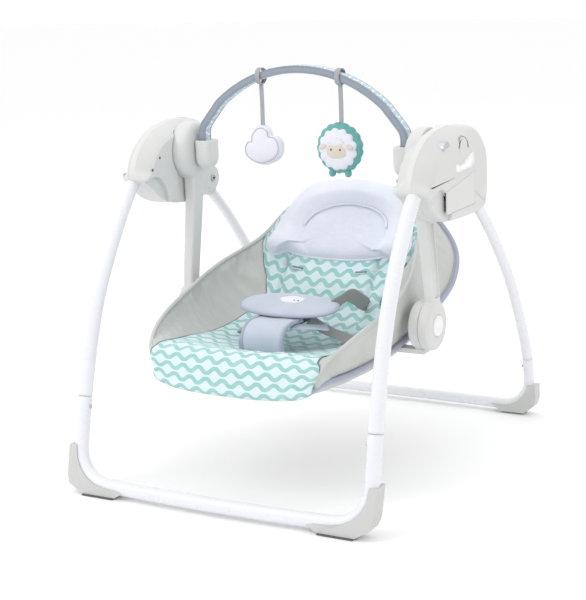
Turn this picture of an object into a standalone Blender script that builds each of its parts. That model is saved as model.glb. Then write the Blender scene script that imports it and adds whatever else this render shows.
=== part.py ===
"""Portable baby swing: folding tube stand, two hip housings, hanging seat and toy bar.

Metres, +Z up. The baby faces -Y, the motor housing is on +X, and the origin lies on the floor
below the middle of the stand. Mirrored pieces are made by one function with side = -1 or +1.
"""
import math

import bmesh
import bpy
from mathutils import Vector

# ---------------------------------------------------------------- driving dimensions
GAP = 0.0003                # clearance between pieces that touch
DEPTH = 0.724               # stand, front rail to rear rail, outside
STAND_WIDTH = 0.591         # outside of the rear corner shoes
FRONT_TUBE_R = 0.0122
REAR_TUBE_R = 0.0098
TUBE_WALL = 0.0014
RAIL_LIFT = 0.0050          # underside of both rails above the floor
FRONT_CORNER_R = 0.062      # bend between a leg and its rail
REAR_CORNER_R = 0.055
FRONT_SEAM_Z = 0.157        # where a front leg plugs into the base tube
REAR_SEAM_Z = 0.112
PLUG_LENGTH = 0.026         # swaged end of a leg inside the base tube
FRONT_LEG_X = 0.2725        # leg centre at the seam
REAR_LEG_X = 0.2780
LEG_TOP_X = 0.2670          # leg centre at the housing, also the housing seam
SNAP_R = 0.0032
SEAM_GAP = 0.0018           # visible line between a leg and its base tube
PAD_THICK = 0.0022
SHOE_WALL = 0.003

AXLE_Y, AXLE_Z = -0.008, 0.538
AXLE_R = 0.008
BUSH_R = 0.012
FOLD_Y, FOLD_Z = 0.088, 0.472
LUG_R = 0.0245
LUG_NECK_R = 0.0132
PIVOT_SCREW_R = 0.004

HOUSING_INNER_X = 0.2320
HOUSING_OUTER_X = 0.2940
HOUSING_WALL = 0.0025
RECESS_DEPTH = 0.0065       # the arm head sits this deep in the housing's inner face
HEAD_R = 0.051
SWING_DEG = 12.0
FOLD_DEG = 60.0

HUB_Y, HUB_Z = -0.010, 0.255
HUB_R = 0.0425
HUB_INNER_X = 0.2280        # parting plane between the arm's drum and the seat's drum
HUB_OUTER_X = 0.2480
ARM_TOP_X, ARM_FOOT_X = 0.2255, 0.2380
ARM_HALF_WIDTH_TOP, ARM_HALF_WIDTH_FOOT = 0.0155, 0.0135
ARM_HALF_THICK_TOP, ARM_HALF_THICK_FOOT = 0.0115, 0.0096
DRUM_R = HUB_R - 0.0025     # the seat's drum, against the inner side of the arm's drum
HUB_PIN_R = 0.0100
POCKET_FLOOR_X = 0.2395     # bottom of the release button's pocket
RELEASE_R = 0.0185
RELEASE_TRAVEL = 0.003

SOCKET_INNER_X, SOCKET_OUTER_X = 0.1780, 0.2087
SOCKET_HALF_WIDTH = 0.021
SOCKET_TOP_Z = 0.556
BAR_X = 0.196               # toy bar centre inside its socket
BAR_APEX_Z = 0.682          # toy bar centre at the top
BAR_ARC_R = 0.2427
BAR_HALF_WIDTH, BAR_HALF_THICK = 0.011, 0.006
TOY_X = 0.0765
RING_R, RING_WALL = 0.0143, 0.0016      # ring that carries a toy on the bar
STRAP_HALF_WIDTH = 0.0045

SEAT_TUBE_R = 0.006
DIAL_R = 0.0165
CELL_R, CELL_LENGTH = 0.0127, 0.0490

TUBE_SIDES = 10
LEG_STEPS = 3               # samples in each stretch of a leg's curve
BOW_FRONT, BOW_REAR = 0.013, 0.005      # how far each rail bows outward at its middle


# ---------------------------------------------------------------- scene and materials
for old in list(bpy.data.objects):
    bpy.data.objects.remove(old, do_unlink=True)


def material(name, colour, roughness, metallic=0.0):
    mat = bpy.data.materials.new(name)
    mat.use_nodes = True
    shader = mat.node_tree.nodes["Principled BSDF"]
    shader.inputs["Base Color"].default_value = (*colour, 1.0)
    shader.inputs["Roughness"].default_value = roughness
    shader.inputs["Metallic"].default_value = metallic
    return mat


WHITE_PAINT = material("white_paint", (0.90, 0.91, 0.93), 0.30)
GREY_PLASTIC = material("grey_plastic", (0.72, 0.72, 0.71), 0.50)
WHITE_PLASTIC = material("white_plastic", (0.90, 0.90, 0.90), 0.40)
DARK_RUBBER = material("dark_rubber", (0.06, 0.06, 0.06), 0.80)
BARE_STEEL = material("bare_steel", (0.60, 0.60, 0.62), 0.35, 1.0)
BLACK_PLASTIC = material("black_plastic", (0.03, 0.03, 0.03), 0.50)
BOARD_GREEN = material("board_green", (0.03, 0.20, 0.08), 0.50)
CELL_WRAP = material("cell_wrap", (0.10, 0.10, 0.12), 0.40)
TEAL_FABRIC = material("teal_fabric", (0.40, 0.70, 0.66), 0.90)
PALE_FABRIC = material("pale_fabric", (0.78, 0.78, 0.84), 0.90)
TOY_FABRIC = material("toy_fabric", (0.90, 0.90, 0.88), 0.90)
WEBBING = material("webbing", (0.42, 0.42, 0.43), 0.85)


def add_object(name, bm, mat, smooth_angle=40.0):
    bmesh.ops.recalc_face_normals(bm, faces=bm.faces)
    mesh = bpy.data.meshes.new(name)
    bm.to_mesh(mesh)
    bm.free()
    mesh.materials.append(mat)
    mesh.shade_smooth()
    mesh.set_sharp_from_angle(angle=math.radians(smooth_angle))
    obj = bpy.data.objects.new(name, mesh)
    bpy.context.scene.collection.objects.link(obj)
    return obj


def hide_cutter(obj):
    obj.hide_render = True
    obj.display_type = 'WIRE'
    return obj


def boolean(target, tool, operation):
    hide_cutter(tool)
    mod = target.modifiers.new(operation.lower(), 'BOOLEAN')
    mod.operation = operation
    mod.solver = 'EXACT'
    mod.object = tool


def cut(target, *tools):
    for tool in tools:
        boolean(target, tool, 'DIFFERENCE')


def join(target, *tools):
    for tool in tools:
        boolean(target, tool, 'UNION')


# ---------------------------------------------------------------- shape helpers
def smooth_path(points, steps):
    """Catmull-Rom curve through the points, with steps samples for each stretch."""
    pts = [Vector(p) for p in points]
    pts = [2 * pts[0] - pts[1]] + pts + [2 * pts[-1] - pts[-2]]
    path = []
    for i in range(1, len(pts) - 2):
        a, b, c, d = pts[i - 1:i + 3]
        for k in range(steps):
            t = k / steps
            path.append(0.5 * ((2 * b) + (c - a) * t + (2 * a - 5 * b + 4 * c - d) * t * t
                               + (3 * b - a - 3 * c + d) * t ** 3))
    path.append(pts[-2])
    return path


def at_height(path, z):
    """The point of an upward path at height z."""
    for a, b in zip(path, path[1:]):
        if (a.z - z) * (b.z - z) <= 0 and a.z != b.z:
            return a.lerp(b, (z - a.z) / (b.z - a.z))
    return path[-1].copy()


def rounded_corner(before, corner, after, radius, steps):
    """Arc that rounds the corner between two straight runs."""
    before, corner, after = Vector(before), Vector(corner), Vector(after)
    u = (before - corner).normalized()
    v = (after - corner).normalized()
    half = u.angle(v) / 2
    start = corner + u * radius / math.tan(half)
    centre = corner + (u + v).normalized() * radius / math.sin(half)
    x_axis = (start - centre).normalized()
    normal = u.cross(v).normalized()
    y_axis = x_axis.cross(normal)
    if y_axis.dot(u) > 0:
        y_axis.negate()
    sweep_angle = math.pi - 2 * half
    return [centre + radius * (x_axis * math.cos(sweep_angle * k / steps)
                               + y_axis * math.sin(sweep_angle * k / steps))
            for k in range(steps + 1)]


def circle(radius, sides):
    return [(radius * math.cos(2 * math.pi * k / sides), radius * math.sin(2 * math.pi * k / sides))
            for k in range(sides)]


def rounded_rect(half_a, half_b, corner, steps=3):
    points = []
    for cx, cy, start in ((1, 1, 0), (-1, 1, 90), (-1, -1, 180), (1, -1, 270)):
        for k in range(steps + 1):
            angle = math.radians(start + 90 * k / steps)
            points.append((cx * (half_a - corner) + corner * math.cos(angle),
                           cy * (half_b - corner) + corner * math.sin(angle)))
    return points


def frames(path, side, closed=False):
    """Section axes along a path: side may be one vector or one for each point."""
    result = []
    count = len(path)
    for i, point in enumerate(path):
        ahead = path[(i + 1) % count] if closed else path[min(i + 1, count - 1)]
        behind = path[i - 1] if closed or i else path[0]
        tangent = (ahead - behind).normalized()
        hint = Vector(side[i]) if isinstance(side, list) else Vector(side)
        first = (hint - tangent * hint.dot(tangent)).normalized()
        result.append((point, first, tangent.cross(first)))
    return result


def rings_along(bm, path, side, sections, closed=False):
    rings = []
    for (point, first, second), section in zip(frames(path, side, closed), sections):
        rings.append([bm.verts.new(point + first * a + second * b) for a, b in section])
    return rings


def bridge(bm, ring_a, ring_b):
    count = len(ring_a)
    for k in range(count):
        bm.faces.new((ring_a[k], ring_a[(k + 1) % count], ring_b[(k + 1) % count], ring_b[k]))


def sweep(name, path, side, section, mat, closed=False):
    """Solid bar: section is one outline, or a list with one outline for each point."""
    bm = bmesh.new()
    sections = section if isinstance(section[0][0], tuple) else [section] * len(path)
    rings = rings_along(bm, path, side, sections, closed)
    for a, b in zip(rings, rings[1:]):
        bridge(bm, a, b)
    if closed:
        bridge(bm, rings[-1], rings[0])
    else:
        bm.faces.new(rings[0][::-1])
        bm.faces.new(rings[-1])
    return add_object(name, bm, mat)


def pipe(name, path, side, radii, wall, mat):
    """Open-ended tube: radii is one outer radius, or one for each point."""
    bm = bmesh.new()
    if not isinstance(radii, list):
        radii = [radii] * len(path)
    outer = rings_along(bm, path, side, [circle(r, TUBE_SIDES) for r in radii])
    inner = rings_along(bm, path, side, [circle(r - wall, TUBE_SIDES) for r in radii])
    for rings in (outer, inner):
        for a, b in zip(rings, rings[1:]):
            bridge(bm, a, b)
    bridge(bm, outer[0], inner[0])
    bridge(bm, outer[-1], inner[-1])
    return add_object(name, bm, mat)


def turned(name, side, y, z, profile, mat, sides=24):
    """Solid turned about an axis along X: profile is (x, radius) with x on the +X side."""
    bm = bmesh.new()
    rings = [[bm.verts.new((side * x, y + a, z + b)) for a, b in circle(r, sides)]
             for x, r in profile]
    for a, b in zip(rings, rings[1:]):
        bridge(bm, a, b)
    bm.faces.new(rings[0])
    bm.faces.new(rings[-1])
    return add_object(name, bm, mat)


def washer(name, side, y, z, profile, mat, sides=20):
    """Ring turned about an axis along X: profile is a closed outline of (x, radius)."""
    bm = bmesh.new()
    rings = [[bm.verts.new((side * x, y + a, z + b)) for a, b in circle(r, sides)]
             for x, r in profile]
    for a, b in zip(rings, rings[1:] + rings[:1]):
        bridge(bm, a, b)
    return add_object(name, bm, mat)


def slab(name, side, outline, x_low, x_high, mat):
    """Flat plate across X from an outline of (y, z)."""
    bm = bmesh.new()
    low = [bm.verts.new((side * x_low, y, z)) for y, z in outline]
    high = [bm.verts.new((side * x_high, y, z)) for y, z in outline]
    bridge(bm, low, high)
    bm.faces.new(low)
    bm.faces.new(high)
    return add_object(name, bm, mat)


def block(name, low, high, mat):
    low, high = Vector(low), Vector(high)
    outline = [(low.y, low.z), (high.y, low.z), (high.y, high.z), (low.y, high.z)]
    return slab(name, 1, outline, low.x, high.x, mat)


def inset(outline, distance):
    """Closed outline moved inward by a distance, along the normals at its points."""
    count = len(outline)
    area = sum(a[0] * b[1] - b[0] * a[1] for a, b in zip(outline, outline[1:] + outline[:1]))
    turn = 1.0 if area > 0 else -1.0
    moved = []
    for i, (y, z) in enumerate(outline):
        before, after = outline[i - 1], outline[(i + 1) % count]
        dy, dz = after[0] - before[0], after[1] - before[1]
        length = math.hypot(dy, dz)
        moved.append((y - turn * distance * dz / length, z + turn * distance * dy / length))
    return moved


def closed_curve(points, steps):
    loop = [Vector((y, z, 0)) for y, z in points]
    curve = smooth_path([loop[-1]] + loop + [loop[0], loop[1]], steps)
    return [(p.x, p.y) for p in curve[steps:-steps - 1]]


def cup(name, side, outline, layers, wall, face, mat):
    """Open shell: layers are (x, inset) from the open rim to the closed face, face is its thickness."""
    bm = bmesh.new()
    skin = [(x, inset(outline, d)) for x, d in layers]
    face_x = layers[-1][0] + math.copysign(face, layers[0][0] - layers[-1][0])
    reach = abs(face_x - layers[0][0])
    core = [(x, inset(outline, d + wall)) for x, d in layers if abs(x - layers[0][0]) < reach]
    core.append((face_x, core[-1][1]))
    rings = [[bm.verts.new((side * x, y, z)) for y, z in ring] for x, ring in skin + core[::-1]]
    for a, b in zip(rings, rings[1:]):
        if a is not rings[len(skin) - 1]:
            bridge(bm, a, b)
    bridge(bm, rings[-1], rings[0])
    bm.faces.new(rings[len(skin) - 1])
    bm.faces.new(rings[len(skin)])
    return add_object(name, bm, mat)


def side_name(base, side):
    return f"{base}_{'left' if side < 0 else 'right'}"


# ---------------------------------------------------------------- stand
FRONT_RAIL_Z = RAIL_LIFT + FRONT_TUBE_R
REAR_RAIL_Z = RAIL_LIFT + REAR_TUBE_R
FRONT_RAIL_Y = -(DEPTH / 2 - FRONT_TUBE_R)
REAR_RAIL_Y = DEPTH / 2 - REAR_TUBE_R


def front_leg_path(side):
    """Front leg centre line, from the base corner up into the housing."""
    points = [(FRONT_LEG_X + 0.0015, FRONT_RAIL_Y + BOW_FRONT, FRONT_RAIL_Z),
              (FRONT_LEG_X, -0.306, FRONT_SEAM_Z),
              (FRONT_LEG_X - 0.002, -0.266, 0.290),
              (LEG_TOP_X + 0.001, -0.218, 0.386),
              (LEG_TOP_X, -0.149, 0.482),
              (LEG_TOP_X, -0.092, 0.530)]
    return smooth_path([(side * x, y, z) for x, y, z in points], LEG_STEPS)


def rear_leg_path(side):
    """Rear leg centre line, from the base corner up to the fold pivot."""
    points = [(REAR_LEG_X + 0.004, REAR_RAIL_Y - BOW_REAR, REAR_RAIL_Z),
              (REAR_LEG_X, 0.3385, REAR_SEAM_Z),
              (REAR_LEG_X - 0.005, 0.312, 0.195),
              (LEG_TOP_X + 0.003, 0.259, 0.290),
              (LEG_TOP_X + 0.002, 0.177, 0.386),
              (LEG_TOP_X + 0.001, FOLD_Y + 0.0114, FOLD_Z - 0.0139)]
    return smooth_path([(side * x, y, z) for x, y, z in points], LEG_STEPS)


def part_of_path(path, low, high):
    """The stretch of an upward path from height low to height high, or to its end if that is lower."""
    inside = [p for p in path[:-1] if low + 0.004 < p.z < high - 0.004]
    return [at_height(path, low)] + inside + ([at_height(path, high)] if high < path[-1].z else [path[-1]])


def base_path(leg_path, seam_z, rail_y, rail_z, bow, corner_r):
    """U path of a base tube: down one leg, round the corner, along the bowed rail and up."""
    right = leg_path(1)
    corner = right[0]
    seam = at_height(right, seam_z)
    rail_point = Vector((corner.x * 0.5, rail_y + math.copysign(bow * 0.25, -rail_y), rail_z))
    half = [seam, *rounded_corner(seam, corner, rail_point, corner_r, 5)]
    for share in (0.55, 0.37, 0.18):
        half.append(Vector((corner.x * share, rail_y + math.copysign(bow * share * share, -rail_y), rail_z)))
    middle = [Vector((0, rail_y, rail_z))]
    return half + middle + [Vector((-p.x, p.y, p.z)) for p in reversed(half)]


FRONT_BASE_PATH = base_path(front_leg_path, FRONT_SEAM_Z, FRONT_RAIL_Y, FRONT_RAIL_Z, BOW_FRONT,
                            FRONT_CORNER_R)
REAR_BASE_PATH = base_path(rear_leg_path, REAR_SEAM_Z, REAR_RAIL_Y, REAR_RAIL_Z, BOW_REAR,
                           REAR_CORNER_R)
SNAP_BELOW_SEAM = 0.016


def leg_tube(name, side, path, base, seam_z, radius):
    """Upper leg, with a swaged end that plugs into the base tube below the seam."""
    plug_r = (radius - TUBE_WALL) * math.cos(math.pi / TUBE_SIDES) - 1.5 * GAP
    seam = Vector((side * base[0].x, base[0].y, base[0].z))
    below = Vector((side * base[1].x, base[1].y, base[1].z))
    down = (below - seam).normalized()
    plug = [seam + down * PLUG_LENGTH, seam - down * SEAM_GAP * 0.7]
    upper = part_of_path(path, seam_z + SEAM_GAP, path[-1].z + 1.0)
    radii = [plug_r] * len(plug) + [radius] * len(upper)
    return pipe(name, plug + upper, (0, 1, 0), radii, TUBE_WALL, WHITE_PAINT)


def snap_button(name, side, path, seam_z, tube_r):
    """Spring button of a leg joint: a pin that comes out on the leg's inner side."""
    centre = at_height(path, seam_z - SNAP_BELOW_SEAM)
    inner_x = abs(centre.x) - tube_r
    return turned(name, side, centre.y, centre.z,
                  [(inner_x - 0.0030, SNAP_R * 0.6), (inner_x - 0.0022, SNAP_R), (inner_x + 0.0080, SNAP_R)],
                  BARE_STEEL, 16)


def snap_cutter(name, side, path, seam_z, tube_r):
    centre = at_height(path, seam_z - SNAP_BELOW_SEAM)
    inner_x = abs(centre.x) - tube_r
    return turned(name, side, centre.y, centre.z,
                  [(inner_x - 0.006, SNAP_R + GAP), (inner_x + 0.006, SNAP_R + GAP)], BARE_STEEL, 16)


def corner_shoe(name, side, base, tube_r, outer_x, reach, height, pad_x):
    """Wedge shoe under a base corner: an outline in X and Z that leans with the leg."""
    path = [p for p in base if p.x > reach]
    lean = sorted(((p.z, p.y) for p in path), key=lambda pair: pair[0])

    def tube_y(z):
        for (z0, y0), (z1, y1) in zip(lean, lean[1:]):
            if z0 <= z <= z1 and z1 > z0:
                return y0 + (y1 - y0) * (z - z0) / (z1 - z0)
        return lean[0][1] if z < lean[0][0] else lean[-1][1]

    crest = [(p.x, p.z) for p in path if p.z < height and p.x > reach + 0.012]
    crest = sorted(crest, key=lambda pair: pair[0])
    top_x = at_height(path[::-1], height).x
    floor_z = PAD_THICK + GAP
    outline = [(outer_x, height), (outer_x - 0.001, 0.032), (outer_x - 0.006, 0.018),
               (pad_x[1] + 0.002, floor_z), (pad_x[0] - 0.002, floor_z), (reach, floor_z + 0.014),
               (reach + 0.004, lean[0][0])] + crest + [(top_x, height)]
    bm = bmesh.new()
    half = tube_r + SHOE_WALL
    rows = [[bm.verts.new((side * x, tube_y(z) + edge * half, z)) for x, z in outline] for edge in (-1, 1)]
    bridge(bm, rows[0], rows[1])
    bm.faces.new(rows[0])
    bm.faces.new(rows[1])
    return add_object(name, bm, GREY_PLASTIC)


def stand_side(side):
    """Legs, shoes, pads and snap buttons of one side."""
    for end, path, seam, radius, base in (
            ("front", front_leg_path(side), FRONT_SEAM_Z, FRONT_TUBE_R, FRONT_BASE_PATH),
            ("rear", rear_leg_path(side), REAR_SEAM_Z, REAR_TUBE_R, REAR_BASE_PATH)):
        leg = leg_tube(side_name(f"{end}_leg", side), side, path, base, seam, radius)
        cut(leg, snap_cutter(side_name(f"{end}_leg_hole", side), side, path, seam, radius))
        snap_button(side_name(f"{end}_snap", side), side, path, seam, radius)

    front_outer_x = FRONT_LEG_X + FRONT_TUBE_R + SHOE_WALL
    shoes = (("front", FRONT_BASE_PATH, FRONT_TUBE_R, front_outer_x, 0.165, 0.080, (0.192, 0.254)),
             ("rear", REAR_BASE_PATH, REAR_TUBE_R, STAND_WIDTH / 2, 0.205, 0.060, (0.225, 0.268)))
    for end, base, radius, outer_x, reach, height, pad_x in shoes:
        name = side_name(f"{end}_foot", side)
        shoe = corner_shoe(name, side, base, radius, outer_x, reach, height, pad_x)
        cut(shoe, sweep(side_name(f"{end}_foot_groove", side), base, (0, 1, 0),
                        circle((radius + GAP) / math.cos(math.pi / TUBE_SIDES), TUBE_SIDES), GREY_PLASTIC))
        rail_y = base[7].y
        half = radius + 0.001
        block(side_name(f"{end}_pad", side), (min(side * pad_x[0], side * pad_x[1]), rail_y - half, 0),
              (max(side * pad_x[0], side * pad_x[1]), rail_y + half, PAD_THICK), DARK_RUBBER)


def stand():
    for end, base, radius, leg_path, seam in (
            ("front", FRONT_BASE_PATH, FRONT_TUBE_R, front_leg_path, FRONT_SEAM_Z),
            ("rear", REAR_BASE_PATH, REAR_TUBE_R, rear_leg_path, REAR_SEAM_Z)):
        tube = pipe(f"{end}_base_tube", base, (0, 1, 0), radius, TUBE_WALL, WHITE_PAINT)
        for side in (-1, 1):
            cut(tube, snap_cutter(side_name(f"{end}_base_hole", side), side, leg_path(side), seam, radius))
    for side in (-1, 1):
        stand_side(side)


# ---------------------------------------------------------------- housings
def housing_outline(rear_y):
    """Side view of a housing as (y, z): a domed top, a nose at the leg and a flat bottom."""
    nose = [(-0.1520, 0.5070), (-0.1240, 0.4845), (-0.1000, 0.4610), (-0.0700, 0.4450)]
    bottom = [(-0.0200, 0.4375), (rear_y - 0.030, 0.4370)]
    rear = [(rear_y - 0.006, 0.4520), (rear_y, 0.4950), (rear_y - 0.008, 0.5450)]
    top = [(rear_y * 0.45 + 0.010, 0.5900), (0.0, 0.6000), (-0.0480, 0.5960), (-0.0880, 0.5840),
           (-0.1200, 0.5630), (-0.1410, 0.5350)]
    return closed_curve(nose + bottom + rear + top, 2)


REAR_FULL, REAR_SHORT = 0.1130, 0.0600
SEAM_X = LEG_TOP_X


def arm_recess_outline():
    """Round pocket for the arm head with a straight-sided slot for the arm's swing."""
    reach = AXLE_Z - 0.430
    swing = math.radians(SWING_DEG)
    half = ARM_HALF_WIDTH_TOP / math.cos(swing) + reach * math.tan(swing) + 0.001
    radius = HEAD_R + 0.0015
    start = math.asin(half / radius)
    points = [(AXLE_Y + half, AXLE_Z - reach)]
    for k in range(25):
        angle = -math.pi / 2 + start + (2 * math.pi - 2 * start) * k / 24
        points.append((AXLE_Y + radius * math.cos(angle), AXLE_Z + radius * math.sin(angle)))
    points.append((AXLE_Y - half, AXLE_Z - reach))
    return points


def fold_sweep_outline():
    """Room for the lug and the rear leg's neck through the whole fold."""
    rest = math.degrees(math.atan2(0.0114, 0.0139))
    points = []
    for k in range(48):
        angle = -180 + 7.5 * k
        near_leg = rest - FOLD_DEG - 34 <= angle <= rest + 34
        radius = 0.095 if near_leg else LUG_R + 0.0015
        points.append((FOLD_Y + radius * math.sin(math.radians(angle)),
                       FOLD_Z - radius * math.cos(math.radians(angle))))
    return points


def leg_bore(name, side):
    return sweep(name, front_leg_path(side)[3 * LEG_STEPS - 1:], (1, 0, 0),
                 circle((FRONT_TUBE_R + GAP) / math.cos(math.pi / 24), 24), GREY_PLASTIC)


def housing_shells(side, prefix):
    outer = cup(f"{prefix}_outer", side, housing_outline(REAR_FULL),
                [(SEAM_X + GAP / 2, 0.0), (0.2840, 0.0015), (0.2900, 0.0050), (0.2928, 0.0095),
                 (HOUSING_OUTER_X, 0.0150)], HOUSING_WALL, HOUSING_WALL, GREY_PLASTIC)
    inner = cup(f"{prefix}_inner", side, housing_outline(REAR_SHORT),
                [(SEAM_X - GAP / 2, 0.0), (0.2400, 0.0), (0.2355, 0.0010), (0.2330, 0.0030),
                 (HOUSING_INNER_X, 0.0060)], HOUSING_WALL, RECESS_DEPTH + HOUSING_WALL, GREY_PLASTIC)
    return outer, inner


def housing(side, prefix):
    outer, inner = housing_shells(side, prefix)
    recess_floor = HOUSING_INNER_X + RECESS_DEPTH
    cut(inner, leg_bore(f"{prefix}_bore_a", side),
        slab(f"{prefix}_arm_recess", side, arm_recess_outline(), HOUSING_INNER_X - 0.004, recess_floor,
             GREY_PLASTIC),
        turned(f"{prefix}_bush_hole", side, AXLE_Y, AXLE_Z,
               [(HOUSING_INNER_X, BUSH_R + GAP), (0.262, BUSH_R + GAP)], GREY_PLASTIC, 24),
        slab(f"{prefix}_fold_sweep_a", side, fold_sweep_outline(), 0.2425, 0.2825, GREY_PLASTIC))
    join(outer, turned(f"{prefix}_pivot_boss", side, FOLD_Y, FOLD_Z,
                       [(0.2828, 0.0095), (0.2925, 0.0095)], GREY_PLASTIC, 24))
    cut(outer, leg_bore(f"{prefix}_bore_b", side),
        slab(f"{prefix}_fold_sweep_b", side, fold_sweep_outline(), 0.2600, 0.2825, GREY_PLASTIC),
        turned(f"{prefix}_pivot_hole", side, FOLD_Y, FOLD_Z,
               [(0.2700, PIVOT_SCREW_R + GAP), (0.2905, PIVOT_SCREW_R + GAP)], GREY_PLASTIC, 16))
    washer(side_name("axle_bush", side), side, AXLE_Y, AXLE_Z,
           [(recess_floor + GAP, AXLE_R + GAP), (0.2500, AXLE_R + GAP), (0.2500, BUSH_R),
            (recess_floor + GAP, BUSH_R)], WHITE_PLASTIC)
    return outer


DOOR_LOW_Z, DOOR_FRONT_Z, DOOR_REAR_Z = 0.4560, 0.4930, 0.5110
DOOR_FRONT_Y, DOOR_REAR_Y = -0.0700, 0.0480
DIAL_Y, DIAL_Z = 0.0, 0.5560
INSIDE_X = HOUSING_OUTER_X - HOUSING_WALL      # inner side of the outer shell's face
PINION_Y, PINION_Z = -0.0620, 0.5600
PINION_R = 0.0110
GEAR_LOW_X, GEAR_HIGH_X = 0.2510, 0.2570
GEAR_TEETH, PINION_TEETH = 20, 8
TOOTH_DEPTH = 0.0016
SHAFT_R, MOTOR_R = 0.0025, 0.0135


def door_outline(margin):
    return [(DOOR_FRONT_Y - margin, DOOR_LOW_Z - margin), (DOOR_REAR_Y + margin, DOOR_LOW_Z - margin),
            (DOOR_REAR_Y + margin, DOOR_REAR_Z + margin), (DOOR_FRONT_Y - margin, DOOR_FRONT_Z + margin)]


def gear_outline(y, z, tip_r, teeth):
    """Spur gear outline with trapezoid teeth."""
    root_r = tip_r - TOOTH_DEPTH
    points = []
    for k in range(teeth):
        for offset, radius in ((0.05, root_r), (0.30, tip_r), (0.55, tip_r), (0.80, root_r)):
            angle = 2 * math.pi * (k + offset) / teeth
            points.append((y + radius * math.cos(angle), z + radius * math.sin(angle)))
    return points


def motor_side():
    """Motor housing with its door, dial, drive, board, speaker and cells."""
    outer = housing(1, "motor_housing")
    cut(outer, slab("door_opening", 1, door_outline(GAP), 0.2880, 0.2960, GREY_PLASTIC),
        turned("dial_hole", 1, DIAL_Y, DIAL_Z, [(0.2880, DIAL_R + GAP), (0.2960, DIAL_R + GAP)],
               GREY_PLASTIC))
    slab("battery_door", 1, door_outline(-GAP / 2), INSIDE_X + 0.0002, HOUSING_OUTER_X, GREY_PLASTIC)
    turned("speed_dial", 1, DIAL_Y, DIAL_Z,
           [(INSIDE_X, DIAL_R), (0.2940, DIAL_R), (0.2950, DIAL_R - 0.0015)], WHITE_PLASTIC)

    spread = math.hypot(PINION_Y - AXLE_Y, PINION_Z - AXLE_Z)
    gear_r = spread - PINION_R - 0.0005
    gear = slab("drive_gear", 1, gear_outline(AXLE_Y, AXLE_Z, gear_r, GEAR_TEETH), GEAR_LOW_X, GEAR_HIGH_X,
                WHITE_PLASTIC)
    cut(gear, turned("gear_bore", 1, AXLE_Y, AXLE_Z, [(0.2480, AXLE_R + GAP), (0.2600, AXLE_R + GAP)],
                     WHITE_PLASTIC, 24))
    shaft_end_x = 0.2700
    pinion = slab("motor_pinion", 1, gear_outline(PINION_Y, PINION_Z, PINION_R, PINION_TEETH), GEAR_LOW_X,
                  GEAR_HIGH_X, WHITE_PLASTIC)
    join(pinion, turned("pinion_shaft", 1, PINION_Y, PINION_Z,
                        [(GEAR_LOW_X + 0.003, SHAFT_R), (shaft_end_x, SHAFT_R)], BARE_STEEL, 16))
    motor = turned("drive_motor", 1, PINION_Y, PINION_Z,
                   [(GEAR_HIGH_X + 0.001, MOTOR_R), (INSIDE_X - GAP, MOTOR_R)], BARE_STEEL, 24)
    cut(motor, turned("motor_bore", 1, PINION_Y, PINION_Z,
                      [(GEAR_HIGH_X - 0.001, SHAFT_R + GAP), (shaft_end_x + 0.0005, SHAFT_R + GAP)],
                      BARE_STEEL, 16))
    block("circuit_board", (INSIDE_X - GAP - 0.0016, -0.042, 0.5180), (INSIDE_X - GAP, 0.030, 0.5780),
          BOARD_GREEN)
    turned("speaker", 1, 0.048, 0.5450, [(0.2800, 0.008), (0.2840, 0.013), (INSIDE_X - GAP, 0.013)],
           BLACK_PLASTIC, 20)
    for row, z in enumerate((0.4700, 0.4700 + 2 * CELL_R + 0.0006)):
        for column, y in enumerate((-0.0640, -0.0640 + CELL_LENGTH + 0.0006)):
            start = Vector((INSIDE_X - GAP - CELL_R, y, z))
            path = [start, start + Vector((0, CELL_LENGTH, 0))]
            sweep(f"battery_cell_{2 * row + column + 1}", path, (1, 0, 0), circle(CELL_R, 20), CELL_WRAP)


# ---------------------------------------------------------------- fold pivot
def fold_pivot(side):
    """Lug on the rear leg's top end, and the screw that it turns on."""
    leg = rear_leg_path(side)
    x_low, x_high = 0.2440, 0.2820
    down = (leg[-2] - leg[-1]).normalized()
    top = leg[-1]
    name = side_name("pivot_lug", side)
    lug = turned(name, side, FOLD_Y, FOLD_Z,
                 [(x_low, LUG_R - 0.003), (x_low + 0.003, LUG_R), (x_high - 0.001, LUG_R),
                  (x_high, LUG_R - 0.001)], GREY_PLASTIC)
    neck_low = Vector((side * (LEG_TOP_X + 0.001), FOLD_Y, FOLD_Z))
    join(lug, sweep(f"{name}_neck", [neck_low, top + down * 0.020], (1, 0, 0), circle(LUG_NECK_R, 24),
                    GREY_PLASTIC))
    cut(lug, sweep(f"{name}_bore", [top - down * 0.0008, top] + leg[::-1][1:LEG_STEPS], (0, 1, 0),
                   circle((REAR_TUBE_R + GAP) / math.cos(math.pi / TUBE_SIDES), TUBE_SIDES), GREY_PLASTIC),
        turned(f"{name}_screw_hole", side, FOLD_Y, FOLD_Z,
               [(0.2400, PIVOT_SCREW_R + GAP), (0.2850, PIVOT_SCREW_R + GAP)], GREY_PLASTIC, 16))
    turned(side_name("pivot_screw", side), side, FOLD_Y, FOLD_Z,
           [(0.2415, 0.0060), (0.2425, 0.0070), (x_low - GAP, 0.0070), (x_low - GAP + 0.0001, PIVOT_SCREW_R),
            (0.2900, PIVOT_SCREW_R)], BARE_STEEL, 16)


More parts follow.
